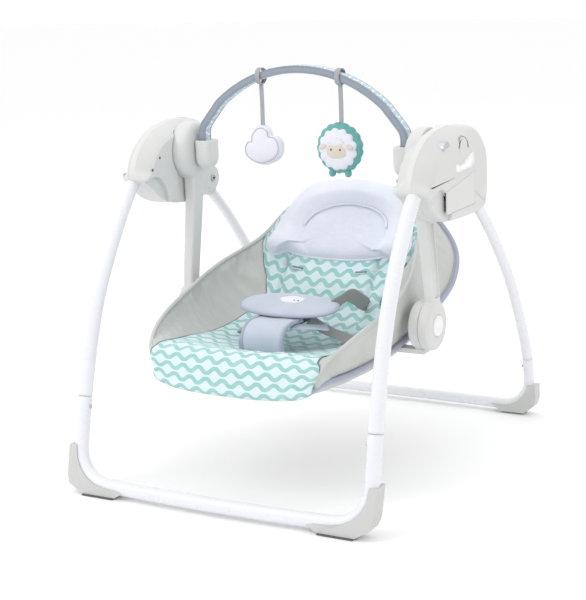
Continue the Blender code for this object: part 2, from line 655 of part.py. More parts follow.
# ---------------------------------------------------------------- swing arms
def swing_arm(side):
    name = side_name("swing_arm", side)
    centres = [(ARM_TOP_X, AXLE_Y, AXLE_Z), (ARM_TOP_X, AXLE_Y, 0.480), (ARM_TOP_X + 0.001, AXLE_Y, 0.436),
               (ARM_FOOT_X, HUB_Y, 0.310), (ARM_FOOT_X + 0.0003, HUB_Y, HUB_Z + 0.025)]
    path = smooth_path([(side * x, y, z) for x, y, z in centres], 2)
    sections = []
    for point in path:
        share = (AXLE_Z - point.z) / (AXLE_Z - HUB_Z)
        half = ARM_HALF_WIDTH_TOP + (ARM_HALF_WIDTH_FOOT - ARM_HALF_WIDTH_TOP) * share
        thick = ARM_HALF_THICK_TOP + (ARM_HALF_THICK_FOOT - ARM_HALF_THICK_TOP) * share
        sections.append(rounded_rect(thick, half, 0.006, 2))
    arm = sweep(name, path, (1, 0, 0), sections, GREY_PLASTIC)
    head_back = HOUSING_INNER_X + RECESS_DEPTH - 0.0005
    join(arm, turned(f"{name}_head", side, AXLE_Y, AXLE_Z,
                     [(SOCKET_OUTER_X + GAP, HEAD_R - 0.012), (SOCKET_OUTER_X + 0.002, HEAD_R - 0.006),
                      (SOCKET_OUTER_X + 0.006, HEAD_R - 0.002), (SOCKET_OUTER_X + 0.012, HEAD_R),
                      (head_back, HEAD_R)], GREY_PLASTIC, 28),
         turned(f"{name}_hub", side, HUB_Y, HUB_Z,
                [(HUB_INNER_X, HUB_R), (HUB_OUTER_X - 0.005, HUB_R), (HUB_OUTER_X - 0.0015, HUB_R - 0.002),
                 (HUB_OUTER_X, HUB_R - 0.006)], GREY_PLASTIC, 28))
    cut(arm, turned(f"{name}_axle_hole", side, AXLE_Y, AXLE_Z,
                    [(0.2000, AXLE_R + GAP), (0.2500, AXLE_R + GAP)], GREY_PLASTIC, 24),
        turned(f"{name}_release_pocket", side, HUB_Y, HUB_Z,
               [(POCKET_FLOOR_X, RELEASE_R + GAP), (0.2550, RELEASE_R + GAP)], GREY_PLASTIC),
        turned(f"{name}_pin_hole", side, HUB_Y, HUB_Z,
               [(0.2200, HUB_PIN_R + GAP), (POCKET_FLOOR_X - 0.0013, HUB_PIN_R + GAP)], GREY_PLASTIC, 24))
    turned(side_name("swing_axle", side), side, AXLE_Y, AXLE_Z,
           [(0.2046, AXLE_R), (0.2800, AXLE_R)], BARE_STEEL, 24)
    rest_x = POCKET_FLOOR_X + RELEASE_TRAVEL + 0.0008
    turned(side_name("recline_button", side), side, HUB_Y, HUB_Z,
           [(rest_x, RELEASE_R), (HUB_OUTER_X + 0.0005, RELEASE_R), (HUB_OUTER_X + 0.0025, RELEASE_R - 0.002),
            (HUB_OUTER_X + 0.0035, RELEASE_R - 0.007)], WHITE_PLASTIC)


# ---------------------------------------------------------------- seat
# Each station runs from the front lip to the top of the back. It gives the soft rim (x, y, z), the
# frame hoop's line (x, y, z), and the pad's surface and underside on the middle plane (y, z).
STATIONS = [
    ((0.148, -0.270, 0.214), (0.146, -0.266, 0.203), (-0.289, 0.196), (-0.283, 0.184)),
    ((0.166, -0.256, 0.246), (0.160, -0.232, 0.213), (-0.262, 0.246), (-0.240, 0.174)),
    ((0.186, -0.190, 0.274), (0.168, -0.160, 0.212), (-0.170, 0.222), (-0.165, 0.168)),
    ((0.198, -0.080, 0.300), (0.176, -0.050, 0.218), (-0.070, 0.205), (-0.060, 0.165)),
    ((0.190, 0.010, 0.328), (0.188, 0.070, 0.250), (0.020, 0.232), (0.060, 0.180)),
    ((0.158, 0.108, 0.360), (0.190, 0.180, 0.290), (0.078, 0.306), (0.160, 0.238)),
    ((0.136, 0.172, 0.402), (0.168, 0.236, 0.345), (0.150, 0.386), (0.216, 0.330)),
    ((0.096, 0.208, 0.438), (0.104, 0.226, 0.428), (0.208, 0.448), (0.226, 0.440)),
]
SECTION_POWER = 0.8         # below 1 gives a flatter floor and steeper sides


def station_at(v):
    """Rim, hoop, inner and outer points at v, from 0 at the lip to 7 at the top."""
    last = len(STATIONS) - 1
    i = min(int(v), last - 1)
    t = v - i
    rows = [STATIONS[max(0, min(last, i + k))] for k in (-1, 0, 1, 2)]
    result = []
    for field in range(4):
        a, b, c, d = (Vector(row[field]) for row in rows)
        result.append(0.5 * ((2 * b) + (c - a) * t + (2 * a - 5 * b + 4 * c - d) * t * t
                             + (3 * b - a - 3 * c + d) * t ** 3))
    return result


def across(s, edge, middle):
    """Point of a cross section: s runs from -1 at the left edge over 0 to +1 at the right edge."""
    angle = abs(s) * math.pi / 2
    x = edge.x * math.sin(angle) ** SECTION_POWER
    rise = 1.0 - max(math.cos(angle), 0.0) ** SECTION_POWER
    return Vector((math.copysign(x, s), middle.x + (edge.y - middle.x) * rise,
                   middle.y + (edge.z - middle.y) * rise))


def inner_point(s, v):
    rim, _, inner, _ = station_at(v)
    return across(s, rim, inner)


def outer_point(s, v):
    _, hoop, _, outer = station_at(v)
    return across(s, hoop, outer)


def surface_normal(s, v):
    ds = inner_point(min(s + 0.02, 1), v) - inner_point(max(s - 0.02, -1), v)
    dv = inner_point(s, min(v + 0.05, 7)) - inner_point(s, max(v - 0.05, 0))
    normal = ds.cross(dv).normalized()
    return normal if normal.z > 0 or normal.y < 0 else -normal


def seat_bucket():
    """Soft seat: pad surface inside, fabric underside outside and a side panel between them."""
    bm = bmesh.new()
    across_steps, along_steps = 12, 14
    s_values = [-1 + 2 * k / across_steps for k in range(across_steps + 1)]
    v_values = [7 * k / along_steps for k in range(along_steps + 1)]
    grids = [[[bm.verts.new(point(s, v)) for s in s_values] for v in v_values]
             for point in (inner_point, outer_point)]
    for grid in grids:
        for j in range(along_steps):
            for i in range(across_steps):
                bm.faces.new((grid[j][i], grid[j][i + 1], grid[j + 1][i + 1], grid[j + 1][i]))
    edges = [[(j, i) for i in range(across_steps + 1)] for j in (0, along_steps)]
    edges += [[(j, i) for j in range(along_steps + 1)] for i in (0, across_steps)]
    for edge in edges:
        for (j0, i0), (j1, i1) in zip(edge, edge[1:]):
            bm.faces.new((grids[0][j0][i0], grids[0][j1][i1], grids[1][j1][i1], grids[1][j0][i0]))
    return add_object("seat_bucket", bm, TEAL_FABRIC, 60)


def hoop_half():
    """Right half of the hoop's line on the bucket's underside, from the front middle to the top middle."""
    front = [outer_point(s, 0) for s in (0.0, 0.25, 0.5, 0.75)]
    sides = [outer_point(1.0, v / 2) for v in range(0, 15)]
    top = [outer_point(s, 7) for s in (0.75, 0.5, 0.25, 0.0)]
    return front + sides + top


def seat_frame():
    """Tube hoop under the bucket's edge, clear of it by the gap."""
    half = hoop_half()
    centre = Vector((0, 0.02, 0.32))
    path, outward = [], []
    for i, point in enumerate(half):
        tangent = (half[min(i + 1, len(half) - 1)] - half[max(i - 1, 0)]).normalized()
        away = point - centre
        away.z -= 0.02
        away -= tangent * away.dot(tangent)
        away.normalize()
        path.append(point + away * (SEAT_TUBE_R + 0.0024))
        outward.append(away)
    mirror = [Vector((-p.x, p.y, p.z)) for p in path[-2:0:-1]]
    mirror_out = [Vector((-n.x, n.y, n.z)) for n in outward[-2:0:-1]]
    sweep("seat_frame", path + mirror, outward + mirror_out, circle(SEAT_TUBE_R, 8), BARE_STEEL, closed=True)
    return path


def hoop_at(hoop, y):
    """Point of the hoop's right side at a depth y."""
    sides = [p for p in hoop if p.x > 0.14]
    for a, b in zip(sides, sides[1:]):
        if a.y <= y <= b.y:
            return a.lerp(b, (y - a.y) / (b.y - a.y))
    return sides[-1]


def patch(name, s_half, v_low, v_high, lift, thickness, mat, steps=8):
    """Oval pad that lies on the seat's pad surface."""
    bm = bmesh.new()
    v_mid, v_half = (v_low + v_high) / 2, (v_high - v_low) / 2

    def point(a, ring, height):
        s = s_half * ring * math.cos(a)
        v = v_mid + v_half * ring * math.sin(a)
        return inner_point(s, v) + surface_normal(s, v) * height

    layers = [(0.45, thickness), (0.80, thickness * 0.92), (0.97, thickness * 0.65), (1.0, thickness * 0.3),
              (0.97, 0.0), (0.80, 0.0), (0.45, 0.0)]
    sides = 4 * steps
    rings = [[bm.verts.new(point(2 * math.pi * k / sides, ring, lift + height)) for k in range(sides)]
             for ring, height in layers]
    for a, b in zip(rings, rings[1:]):
        bridge(bm, a, b)
    bm.faces.new(rings[0])
    bm.faces.new(rings[-1])
    bmesh.ops.triangulate(bm, faces=[f for f in bm.faces if len(f.verts) > 4])
    return add_object(name, bm, mat, 60)


BELLY_Y, BELLY_Z, BELLY_TILT = -0.076, 0.284, 12.0
BELLY_HALF = (0.090, 0.040, 0.011)


def belly_pad():
    """Oval pad over the lap, tilted so that its front edge is lower."""
    bm = bmesh.new()
    tilt = math.radians(BELLY_TILT)
    rings = []
    for ring, height in ((0.5, 1.0), (0.85, 0.8), (1.0, 0.15), (1.0, -0.15), (0.85, -0.8), (0.5, -1.0)):
        row = []
        for a, b in circle(ring, 28):
            x, y, z = a * BELLY_HALF[0], b * BELLY_HALF[1], height * BELLY_HALF[2]
            row.append(bm.verts.new((x, BELLY_Y + y * math.cos(tilt) - z * math.sin(tilt),
                                     BELLY_Z + y * math.sin(tilt) + z * math.cos(tilt))))
        rings.append(row)
    for a, b in zip(rings, rings[1:]):
        bridge(bm, a, b)
    bm.faces.new(rings[0])
    bm.faces.new(rings[-1])
    return add_object("belly_pad", bm, PALE_FABRIC, 60)


def harness():
    """Crotch strap, buckle and the two waist straps."""
    root = inner_point(0, 2.02)
    strap = smooth_path([(0, root.y, root.z + 0.0022), (0, -0.168, 0.246), (0, -0.150, 0.262),
                         (0, -0.118, 0.2625)], 4)
    sweep("crotch_strap", strap, (1, 0, 0), rounded_rect(0.038, 0.0022, 0.002, 1), PALE_FABRIC)
    buckle = (0.030, 0.024, 0.0070)
    buckle_y, buckle_z = -0.079, 0.2640
    block("harness_buckle", (-buckle[0], buckle_y - buckle[1], buckle_z - buckle[2]),
          (buckle[0], buckle_y + buckle[1], buckle_z + buckle[2] * 0.6), BLACK_PLASTIC)
    for side in (-1, 1):
        foot = inner_point(side * 0.56, 3.75)
        foot += surface_normal(side * 0.56, 3.75) * 0.0066
        start = Vector((side * (buckle[0] + 0.0068), buckle_y + 0.006, buckle_z - 0.001))
        sag = Vector((0, 0, -0.004))
        path = smooth_path([start, start.lerp(foot, 0.5) + sag, foot], 4)
        lengthwise = (inner_point(side * 0.56, 3.85) - inner_point(side * 0.56, 3.65)).normalized()
        widths = [Vector((0, 1, 0)).lerp(lengthwise, k / (len(path) - 1)) for k in range(len(path))]
        sweep(side_name("waist_strap", side), path, widths, rounded_rect(0.0125, 0.0011, 0.001, 1), WEBBING)


def seat_bracket(side, hoop):
    """Seat half of the hub: a drum, its pin and a saddle below the hoop tube."""
    name = side_name("seat_bracket", side)
    drum_low = 0.2093
    half_saddle = 0.012
    near = hoop_at(hoop, HUB_Y - half_saddle)
    saddle_top = near.z - SEAT_TUBE_R * 1.05 - GAP
    drum = turned(name, side, HUB_Y, HUB_Z,
                  [(drum_low, DRUM_R - 0.003), (drum_low + 0.003, DRUM_R), (HUB_INNER_X - GAP, DRUM_R)],
                  GREY_PLASTIC, 32)
    join(drum, turned(f"{name}_pin", side, HUB_Y, HUB_Z,
                      [(0.2200, HUB_PIN_R), (POCKET_FLOOR_X - 0.0020, HUB_PIN_R)], GREY_PLASTIC, 24))
    low_x, high_x = near.x - 0.008, HUB_INNER_X - GAP
    saddle_x = sorted((side * low_x, side * high_x))
    join(drum, block(f"{name}_saddle", (saddle_x[0], HUB_Y - half_saddle, saddle_top - 0.008),
                     (saddle_x[1], HUB_Y + half_saddle, saddle_top), GREY_PLASTIC))
    web_x = sorted((side * (drum_low + 0.001), side * high_x))
    join(drum, block(f"{name}_web", (web_x[0], HUB_Y - half_saddle + 0.001, saddle_top - 0.007),
                     (web_x[1], HUB_Y + half_saddle - 0.001, HUB_Z - 0.010), GREY_PLASTIC))


# ---------------------------------------------------------------- toy bar
BAR_CENTRE_Z = BAR_APEX_Z - BAR_ARC_R


def bar_path():
    """Toy bar centre line: up out of one socket, over an arc and down into the other."""
    foot = Vector((BAR_X, AXLE_Y, SOCKET_TOP_Z - 0.035))
    corner_z = BAR_CENTRE_Z + math.sqrt(BAR_ARC_R ** 2 - BAR_X ** 2) - 0.004
    corner = Vector((BAR_X, AXLE_Y, corner_z))
    join_x = 0.160
    on_arc = Vector((join_x, AXLE_Y, BAR_CENTRE_Z + math.sqrt(BAR_ARC_R ** 2 - join_x ** 2)))
    half = [foot, *rounded_corner(foot, corner, on_arc, 0.030, 4)]
    steps = 7
    start = math.acos(join_x / BAR_ARC_R)
    for k in range(steps):
        angle = start + (math.pi / 2 - start) * k / steps
        half.append(Vector((BAR_ARC_R * math.cos(angle), AXLE_Y, BAR_CENTRE_Z + BAR_ARC_R * math.sin(angle))))
    top = [Vector((0, AXLE_Y, BAR_APEX_Z))]
    return half + top + [Vector((-p.x, p.y, p.z)) for p in reversed(half)]


def bar_socket(side):
    name = side_name("bar_socket", side)
    low_z = SOCKET_TOP_Z - 0.051 + SOCKET_HALF_WIDTH
    outline = [(AXLE_Y - SOCKET_HALF_WIDTH, SOCKET_TOP_Z), (AXLE_Y + SOCKET_HALF_WIDTH, SOCKET_TOP_Z)]
    for k in range(13):
        angle = -math.pi * k / 12
        outline.append((AXLE_Y + SOCKET_HALF_WIDTH * math.cos(angle),
                        low_z + SOCKET_HALF_WIDTH * math.sin(angle)))
    socket = slab(name, side, outline, SOCKET_INNER_X, SOCKET_OUTER_X, GREY_PLASTIC)
    pocket_low = Vector((BAR_X - BAR_HALF_THICK - GAP, AXLE_Y - BAR_HALF_WIDTH - GAP, SOCKET_TOP_Z - 0.0355))
    pocket_high = Vector((BAR_X + BAR_HALF_THICK + GAP, AXLE_Y + BAR_HALF_WIDTH + GAP, SOCKET_TOP_Z + 0.01))
    xs = sorted((side * pocket_low.x, side * pocket_high.x))
    cut(socket, block(f"{name}_pocket", (xs[0], pocket_low.y, pocket_low.z),
                      (xs[1], pocket_high.y, pocket_high.z), GREY_PLASTIC),
        turned(f"{name}_axle_hole", side, AXLE_Y, AXLE_Z, [(0.2043, AXLE_R + GAP), (0.2100, AXLE_R + GAP)],
               GREY_PLASTIC, 24))


def toy(name, side, half_width, top_z, low_z, lobes, mat):
    """Plush toy: an outline in X and Z with soft lobes, its ring round the bar and its strap."""
    bar_z = BAR_CENTRE_Z + math.sqrt(BAR_ARC_R ** 2 - TOY_X ** 2)
    middle_z = (top_z + low_z) / 2
    half_height = (top_z - low_z) / 2
    bm = bmesh.new()
    count = 30
    rings = []
    for ring, depth in ((0.55, 1.0), (0.88, 0.75), (1.0, 0.15), (1.0, -0.15), (0.88, -0.75), (0.55, -1.0)):
        row = []
        for k in range(count):
            angle = 2 * math.pi * k / count
            swell = 1.0 + 0.045 * math.cos(lobes * angle)
            row.append(bm.verts.new((side * TOY_X + half_width * ring * swell * math.cos(angle) / 1.045,
                                     AXLE_Y - depth * 0.014,
                                     middle_z + half_height * ring * swell * math.sin(angle) / 1.045)))
        rings.append(row)
    for a, b in zip(rings, rings[1:]):
        bridge(bm, a, b)
    bm.faces.new(rings[0])
    bm.faces.new(rings[-1])
    body = add_object(name, bm, mat, 60)
    low_x, high_x = TOY_X - STRAP_HALF_WIDTH, TOY_X + STRAP_HALF_WIDTH
    inner_r = RING_R - RING_WALL
    ring = washer(f"{name}_ring", side, AXLE_Y, bar_z,
                  [(low_x, inner_r), (high_x, inner_r), (high_x, RING_R), (low_x, RING_R)], mat, 24)
    xs = sorted((side * low_x, side * high_x))
    strap = block(f"{name}_strap", (xs[0], AXLE_Y - 0.0012, middle_z),
                  (xs[1], AXLE_Y + 0.0012, bar_z - RING_R + RING_WALL / 2), mat)
    join(body, strap, ring)


def toy_bar():
    path = bar_path()
    sweep("toy_bar", path, (0, 1, 0), rounded_rect(BAR_HALF_WIDTH, BAR_HALF_THICK, 0.004, 2), TEAL_FABRIC)
    for side in (-1, 1):
        bar_socket(side)
    toy("cloud_toy", -1, 0.0380, 0.5880, 0.5120, 5, TOY_FABRIC)
    toy("sheep_toy", 1, 0.0430, 0.5930, 0.5060, 10, TOY_FABRIC)


# ---------------------------------------------------------------- build
stand()
housing(-1, "left_housing")
motor_side()
for which in (-1, 1):
    fold_pivot(which)
    swing_arm(which)
seat_bucket()
hoop_path = seat_frame()
for which in (-1, 1):
    seat_bracket(which, hoop_path)
patch("headrest", 0.80, 5.15, 6.92, 0.0015, 0.024, PALE_FABRIC)
belly_pad()
harness()
toy_bar()
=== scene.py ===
"""Baby swing, the looks: every visible piece, its materials, the studio and the camera."""
import math

import bmesh
import bpy
import numpy as np
from mathutils import Matrix, Vector, noise


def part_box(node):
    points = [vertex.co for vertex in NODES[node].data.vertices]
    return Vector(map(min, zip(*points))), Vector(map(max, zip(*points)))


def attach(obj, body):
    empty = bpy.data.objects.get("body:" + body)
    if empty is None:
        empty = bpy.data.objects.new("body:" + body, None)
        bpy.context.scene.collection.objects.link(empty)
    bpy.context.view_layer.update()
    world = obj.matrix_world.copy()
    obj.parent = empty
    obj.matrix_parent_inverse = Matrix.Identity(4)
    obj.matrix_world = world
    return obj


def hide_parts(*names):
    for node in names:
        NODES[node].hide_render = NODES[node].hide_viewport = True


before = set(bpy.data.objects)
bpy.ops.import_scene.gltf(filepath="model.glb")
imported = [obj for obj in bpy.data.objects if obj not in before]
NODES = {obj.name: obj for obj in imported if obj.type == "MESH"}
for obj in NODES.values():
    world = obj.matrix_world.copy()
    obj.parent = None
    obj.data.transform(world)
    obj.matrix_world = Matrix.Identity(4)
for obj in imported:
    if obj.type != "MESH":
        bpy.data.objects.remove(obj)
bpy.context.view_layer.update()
SIDES = ((-1, "left"), (1, "right"))


# ------------------------------------------------------------------ camera, light and floor
def make_camera():
    """Long lens in front of the swing, above it and to its right."""
    data = bpy.data.cameras.new("camera")
    data.sensor_width = 36.0
    data.lens = 91.66
    data.clip_end = 50.0
    camera = bpy.data.objects.new("camera", data)
    right = Vector((0.87600648, 0.48088815, -0.03686778))
    up = Vector((-0.07718338, 0.21523549, 0.97350727))
    back = Vector((0.47608336, -0.8499531, 0.22566426))
    turn = Matrix((right, up, back)).transposed().to_4x4()
    camera.matrix_world = Matrix.Translation((1.2534, -2.2989, 0.8852)) @ turn
    bpy.context.scene.collection.objects.link(camera)
    bpy.context.scene.camera = camera


def area_light(name, place, target, size, power, colour=(1.0, 1.0, 1.0)):
    data = bpy.data.lights.new(name, 'AREA')
    data.shape = 'DISK'
    data.size = size
    data.energy = power
    data.color = colour
    light = bpy.data.objects.new(name, data)
    light.location = place
    light.rotation_euler = (Vector(target) - Vector(place)).to_track_quat('-Z', 'Y').to_euler()
    bpy.context.scene.collection.objects.link(light)


def make_studio():
    """Soft lamps all round, a white world and a pale floor."""
    middle = (0.0, 0.0, 0.3)
    area_light("key_light", (-1.6, -1.9, 2.6), middle, 1.8, 20.0)
    area_light("fill_light", (2.4, -1.6, 1.6), middle, 2.2, 1.5, (0.97, 0.98, 1.0))
    area_light("top_light", (0.2, 0.4, 3.0), middle, 2.4, 12.0)
    area_light("back_light", (-0.6, 2.6, 1.8), middle, 2.0, 4.0)
    world = bpy.data.worlds.new("studio")
    world.use_nodes = True
    background = world.node_tree.nodes["Background"]
    background.inputs["Color"].default_value = (1.0, 1.0, 1.0, 1.0)
    background.inputs["Strength"].default_value = 1.0
    bpy.context.scene.world = world

    mesh = bpy.data.meshes.new("floor")
    half = 14.0
    mesh.from_pydata([(-half, -half, 0), (half, -half, 0), (half, half, 0), (-half, half, 0)], [],
                     [(0, 1, 2, 3)])
    floor = bpy.data.objects.new("floor", mesh)
    floor.location.z = -0.0006
    bpy.context.scene.collection.objects.link(floor)
    mesh.materials.append(new_material("floor_paper", (0.985, 0.985, 0.985), 0.8)[0])
    bpy.context.scene.view_settings.view_transform = 'Standard'


# ------------------------------------------------------------------ materials
def new_material(name, colour, roughness):
    mat = bpy.data.materials.new(name)
    mat.use_nodes = True
    tree = mat.node_tree
    shader = tree.nodes["Principled BSDF"]
    shader.inputs["Base Color"].default_value = (*colour, 1.0)
    shader.inputs["Roughness"].default_value = roughness
    return mat, shader, tree


class Nodes:
    """Short calls for building a node tree."""

    def __init__(self, tree):
        self.tree = tree

    def add(self, kind, **values):
        node = self.tree.nodes.new(kind)
        for key, value in values.items():
            setattr(node, key, value)
        return node

    def link(self, source, target):
        self.tree.links.new(source, target)
        return source

    def feed(self, socket, value):
        if isinstance(value, bpy.types.NodeSocket):
            self.link(value, socket)
        else:
            socket.default_value = (*value, 1.0) if isinstance(value, tuple) else value

    def math(self, operation, a, b=0.0):
        node = self.add("ShaderNodeMath", operation=operation)
        self.feed(node.inputs[0], a)
        self.feed(node.inputs[1], b)
        return node.outputs[0]

    def mix(self, factor, a, b):
        node = self.add("ShaderNodeMix", data_type='RGBA')
        self.feed(node.inputs["Factor"], factor)
        self.feed(node.inputs[6], a)
        self.feed(node.inputs[7], b)
        return node.outputs[2]

    def noise(self, scale, detail=2.0, roughness=0.5):
        node = self.add("ShaderNodeTexNoise")
        for key, number in (("Scale", scale), ("Detail", detail), ("Roughness", roughness)):
            node.inputs[key].default_value = number
        self.link(self.add("ShaderNodeTexCoord").outputs["Object"], node.inputs["Vector"])
        return node.outputs["Fac"]

    def span(self, value, low=0.3, high=0.7, out_low=0.0, out_high=1.0):
        """Maps low..high to out_low..out_high; the defaults stretch a noise value to 0..1."""
        node = self.add("ShaderNodeMapRange", clamp=True)
        self.feed(node.inputs["Value"], value)
        for key, number in (("From Min", low), ("From Max", high), ("To Min", out_low), ("To Max", out_high)):
            node.inputs[key].default_value = number
        return node.outputs["Result"]

    def bump(self, height, distance, strength=1.0, under=None):
        node = self.add("ShaderNodeBump")
        node.inputs["Distance"].default_value = distance
        node.inputs["Strength"].default_value = strength
        self.link(height, node.inputs["Height"])
        if under is not None:
            self.link(under, node.inputs["Normal"])
        return node.outputs["Normal"]

    def edge(self):
        """1 along convex edges, where a painted highlight lightens the surface."""
        pointiness = self.add("ShaderNodeNewGeometry").outputs["Pointiness"]
        return self.span(pointiness, 0.52, 0.60)


def shade(colour, factor, lift=0.0):
    """Colour made lighter or darker."""
    return tuple(min(1.0, c * factor + lift) for c in colour)


def plastic(name, colour, roughness=0.46, coat=0.0):
    """Moulded plastic: fine spark grain, soft tone variation and a painted highlight on convex edges."""
    mat, shader, tree = new_material(name, colour, roughness)
    n = Nodes(tree)
    base = n.mix(n.span(n.noise(9.0, 3.0)), shade(colour, 0.96), colour)
    # painted highlight: convex edges drawn lighter
    base = n.mix(n.math('MULTIPLY', n.edge(), 0.5), base, shade(colour, 1.05, 0.01))
    n.link(base, shader.inputs["Base Color"])
    grain = n.noise(1500.0, 2.0, 0.6)
    n.link(n.span(n.noise(45.0, 3.0), 0.3, 0.7, roughness - 0.05, roughness + 0.06),
           shader.inputs["Roughness"])
    n.link(n.bump(grain, 0.00006, 0.5), shader.inputs["Normal"])
    shader.inputs["Specular IOR Level"].default_value = 0.45
    shader.inputs["Coat Weight"].default_value = coat
    shader.inputs["Coat Roughness"].default_value = 0.3
    return mat


def paint(name, colour):
    """Powder coat on steel tube: gloss with a faint orange peel."""
    mat, shader, tree = new_material(name, colour, 0.3)
    n = Nodes(tree)
    n.link(n.mix(n.span(n.noise(14.0, 2.0)), shade(colour, 0.975), colour), shader.inputs["Base Color"])
    n.link(n.span(n.noise(60.0, 3.0), 0.3, 0.7, 0.24, 0.36), shader.inputs["Roughness"])
    n.link(n.bump(n.noise(420.0, 2.0), 0.00012, 0.35), shader.inputs["Normal"])
    shader.inputs["Coat Weight"].default_value = 0.35
    shader.inputs["Coat Roughness"].default_value = 0.12
    return mat


def metal(name, colour, roughness=0.34):
    mat, shader, tree = new_material(name, colour, roughness)
    n = Nodes(tree)
    shader.inputs["Metallic"].default_value = 1.0
    n.link(n.span(n.noise(900.0, 4.0), 0.3, 0.7, roughness - 0.08, roughness + 0.1),
           shader.inputs["Roughness"])
    n.link(n.bump(n.noise(700.0, 3.0), 0.00003, 0.4), shader.inputs["Normal"])
    return mat


def rubber(name, colour):
    mat, shader, tree = new_material(name, colour, 0.82)
    n = Nodes(tree)
    n.link(n.mix(n.noise(120.0, 4.0), colour, shade(colour, 1.0, 0.03)), shader.inputs["Base Color"])
    n.link(n.bump(n.noise(900.0, 3.0), 0.0002, 0.6), shader.inputs["Normal"])
    return mat


def cloth_place(n):
    """Across and along sockets of the piece's cloth coordinates, in metres."""
    split = n.add("ShaderNodeSeparateXYZ")
    n.link(n.add("ShaderNodeUVMap", uv_map="cloth").outputs["UV"], split.inputs["Vector"])
    return split.outputs["X"], split.outputs["Y"]


def weave_height(n, pitch):
    """Plain weave: threads over and under in two directions."""
    waves = [n.math('SINE', n.math('MULTIPLY', way, 2 * math.pi / pitch)) for way in cloth_place(n)]
    return n.math('MULTIPLY', n.math('ADD', *waves), 0.25)


def cloth_finish(n, shader, base, pitch, fuzz, sheen, roughness):
    fibres = n.noise(260.0, 4.0, 0.65)
    normal = n.bump(fibres, 0.0007 * fuzz, 0.55)
    n.link(n.bump(weave_height(n, pitch), 0.00016, 0.8, normal), shader.inputs["Normal"])
    n.link(base, shader.inputs["Base Color"])
    n.link(n.span(fibres, 0.3, 0.7, roughness - 0.05, min(1.0, roughness + 0.05)), shader.inputs["Roughness"])
    shader.inputs["Sheen Weight"].default_value = sheen
    shader.inputs["Sheen Roughness"].default_value = 0.45
    shader.inputs["Specular IOR Level"].default_value = 0.25


def fabric(name, colour, pitch=0.0011, fuzz=0.6, sheen=0.25, tone=0.06, roughness=0.88):
    """Woven or knitted cloth in one colour, with slub and soft variation."""
    mat, shader, tree = new_material(name, colour, roughness)
    n = Nodes(tree)
    base = n.mix(n.span(n.noise(16.0, 3.0)), shade(colour, 1.0 - tone), shade(colour, 1.0 + tone * 0.5))
    slub = n.span(n.noise(480.0, 3.0, 0.7), 0.35)
    base = n.mix(n.math('MULTIPLY', slub, 0.35), base, shade(colour, 0.9))
    cloth_finish(n, shader, base, pitch, fuzz, sheen, roughness)
    return mat


def wave_print(name, ground, band, deep, length=0.0315, pitch=0.0215, swing=0.0050, half_band=0.0041):
    """Printed cloth: rows of rounded waves, every other row shifted by half a wave."""
    mat, shader, tree = new_material(name, ground, 0.88)
    n = Nodes(tree)
    x, y = cloth_place(n)
    turns = 2 * math.pi / length
    soft_edge = 0.0004
    covers = []
    rows = n.math('DIVIDE', y, pitch)
    base_row = n.math('FLOOR', rows)
    for step in (-1.0, 0.0, 1.0):
        row = n.math('ADD', base_row, step)
        shift = n.math('MULTIPLY', n.math('ABSOLUTE', n.math('MODULO', row, 2.0)), math.pi)
        angle = n.math('ADD', n.math('MULTIPLY', x, turns), shift)
        wave = n.math('MULTIPLY', n.math('SINE', angle), swing)
        centre = n.math('ADD', n.math('MULTIPLY', n.math('ADD', row, 0.5), pitch), wave)
        slope = n.math('MULTIPLY', n.math('COSINE', angle), swing * turns)
        stretch = n.math('SQRT', n.math('ADD', n.math('MULTIPLY', slope, slope), 1.0))
        away = n.math('DIVIDE', n.math('ABSOLUTE', n.math('SUBTRACT', y, centre)), stretch)
        covers.append(n.span(away, half_band - soft_edge, half_band + soft_edge, 1.0, 0.0))
    cover = n.math('MAXIMUM', covers[0], n.math('MAXIMUM', covers[1], covers[2]))
    ground_tone = n.mix(n.span(n.noise(30.0, 3.0)), ground, shade(ground, 0.95))
    band_tone = n.mix(n.span(n.noise(55.0, 2.0)), band, deep)
    base = n.mix(cover, ground_tone, band_tone)
    slub = n.span(n.noise(600.0, 3.0, 0.7), 0.35)
    base = n.mix(n.math('MULTIPLY', slub, 0.15), base, (0.9, 0.95, 0.95))
    cloth_finish(n, shader, base, 0.0010, 0.5, 0.2, 0.88)
    return mat


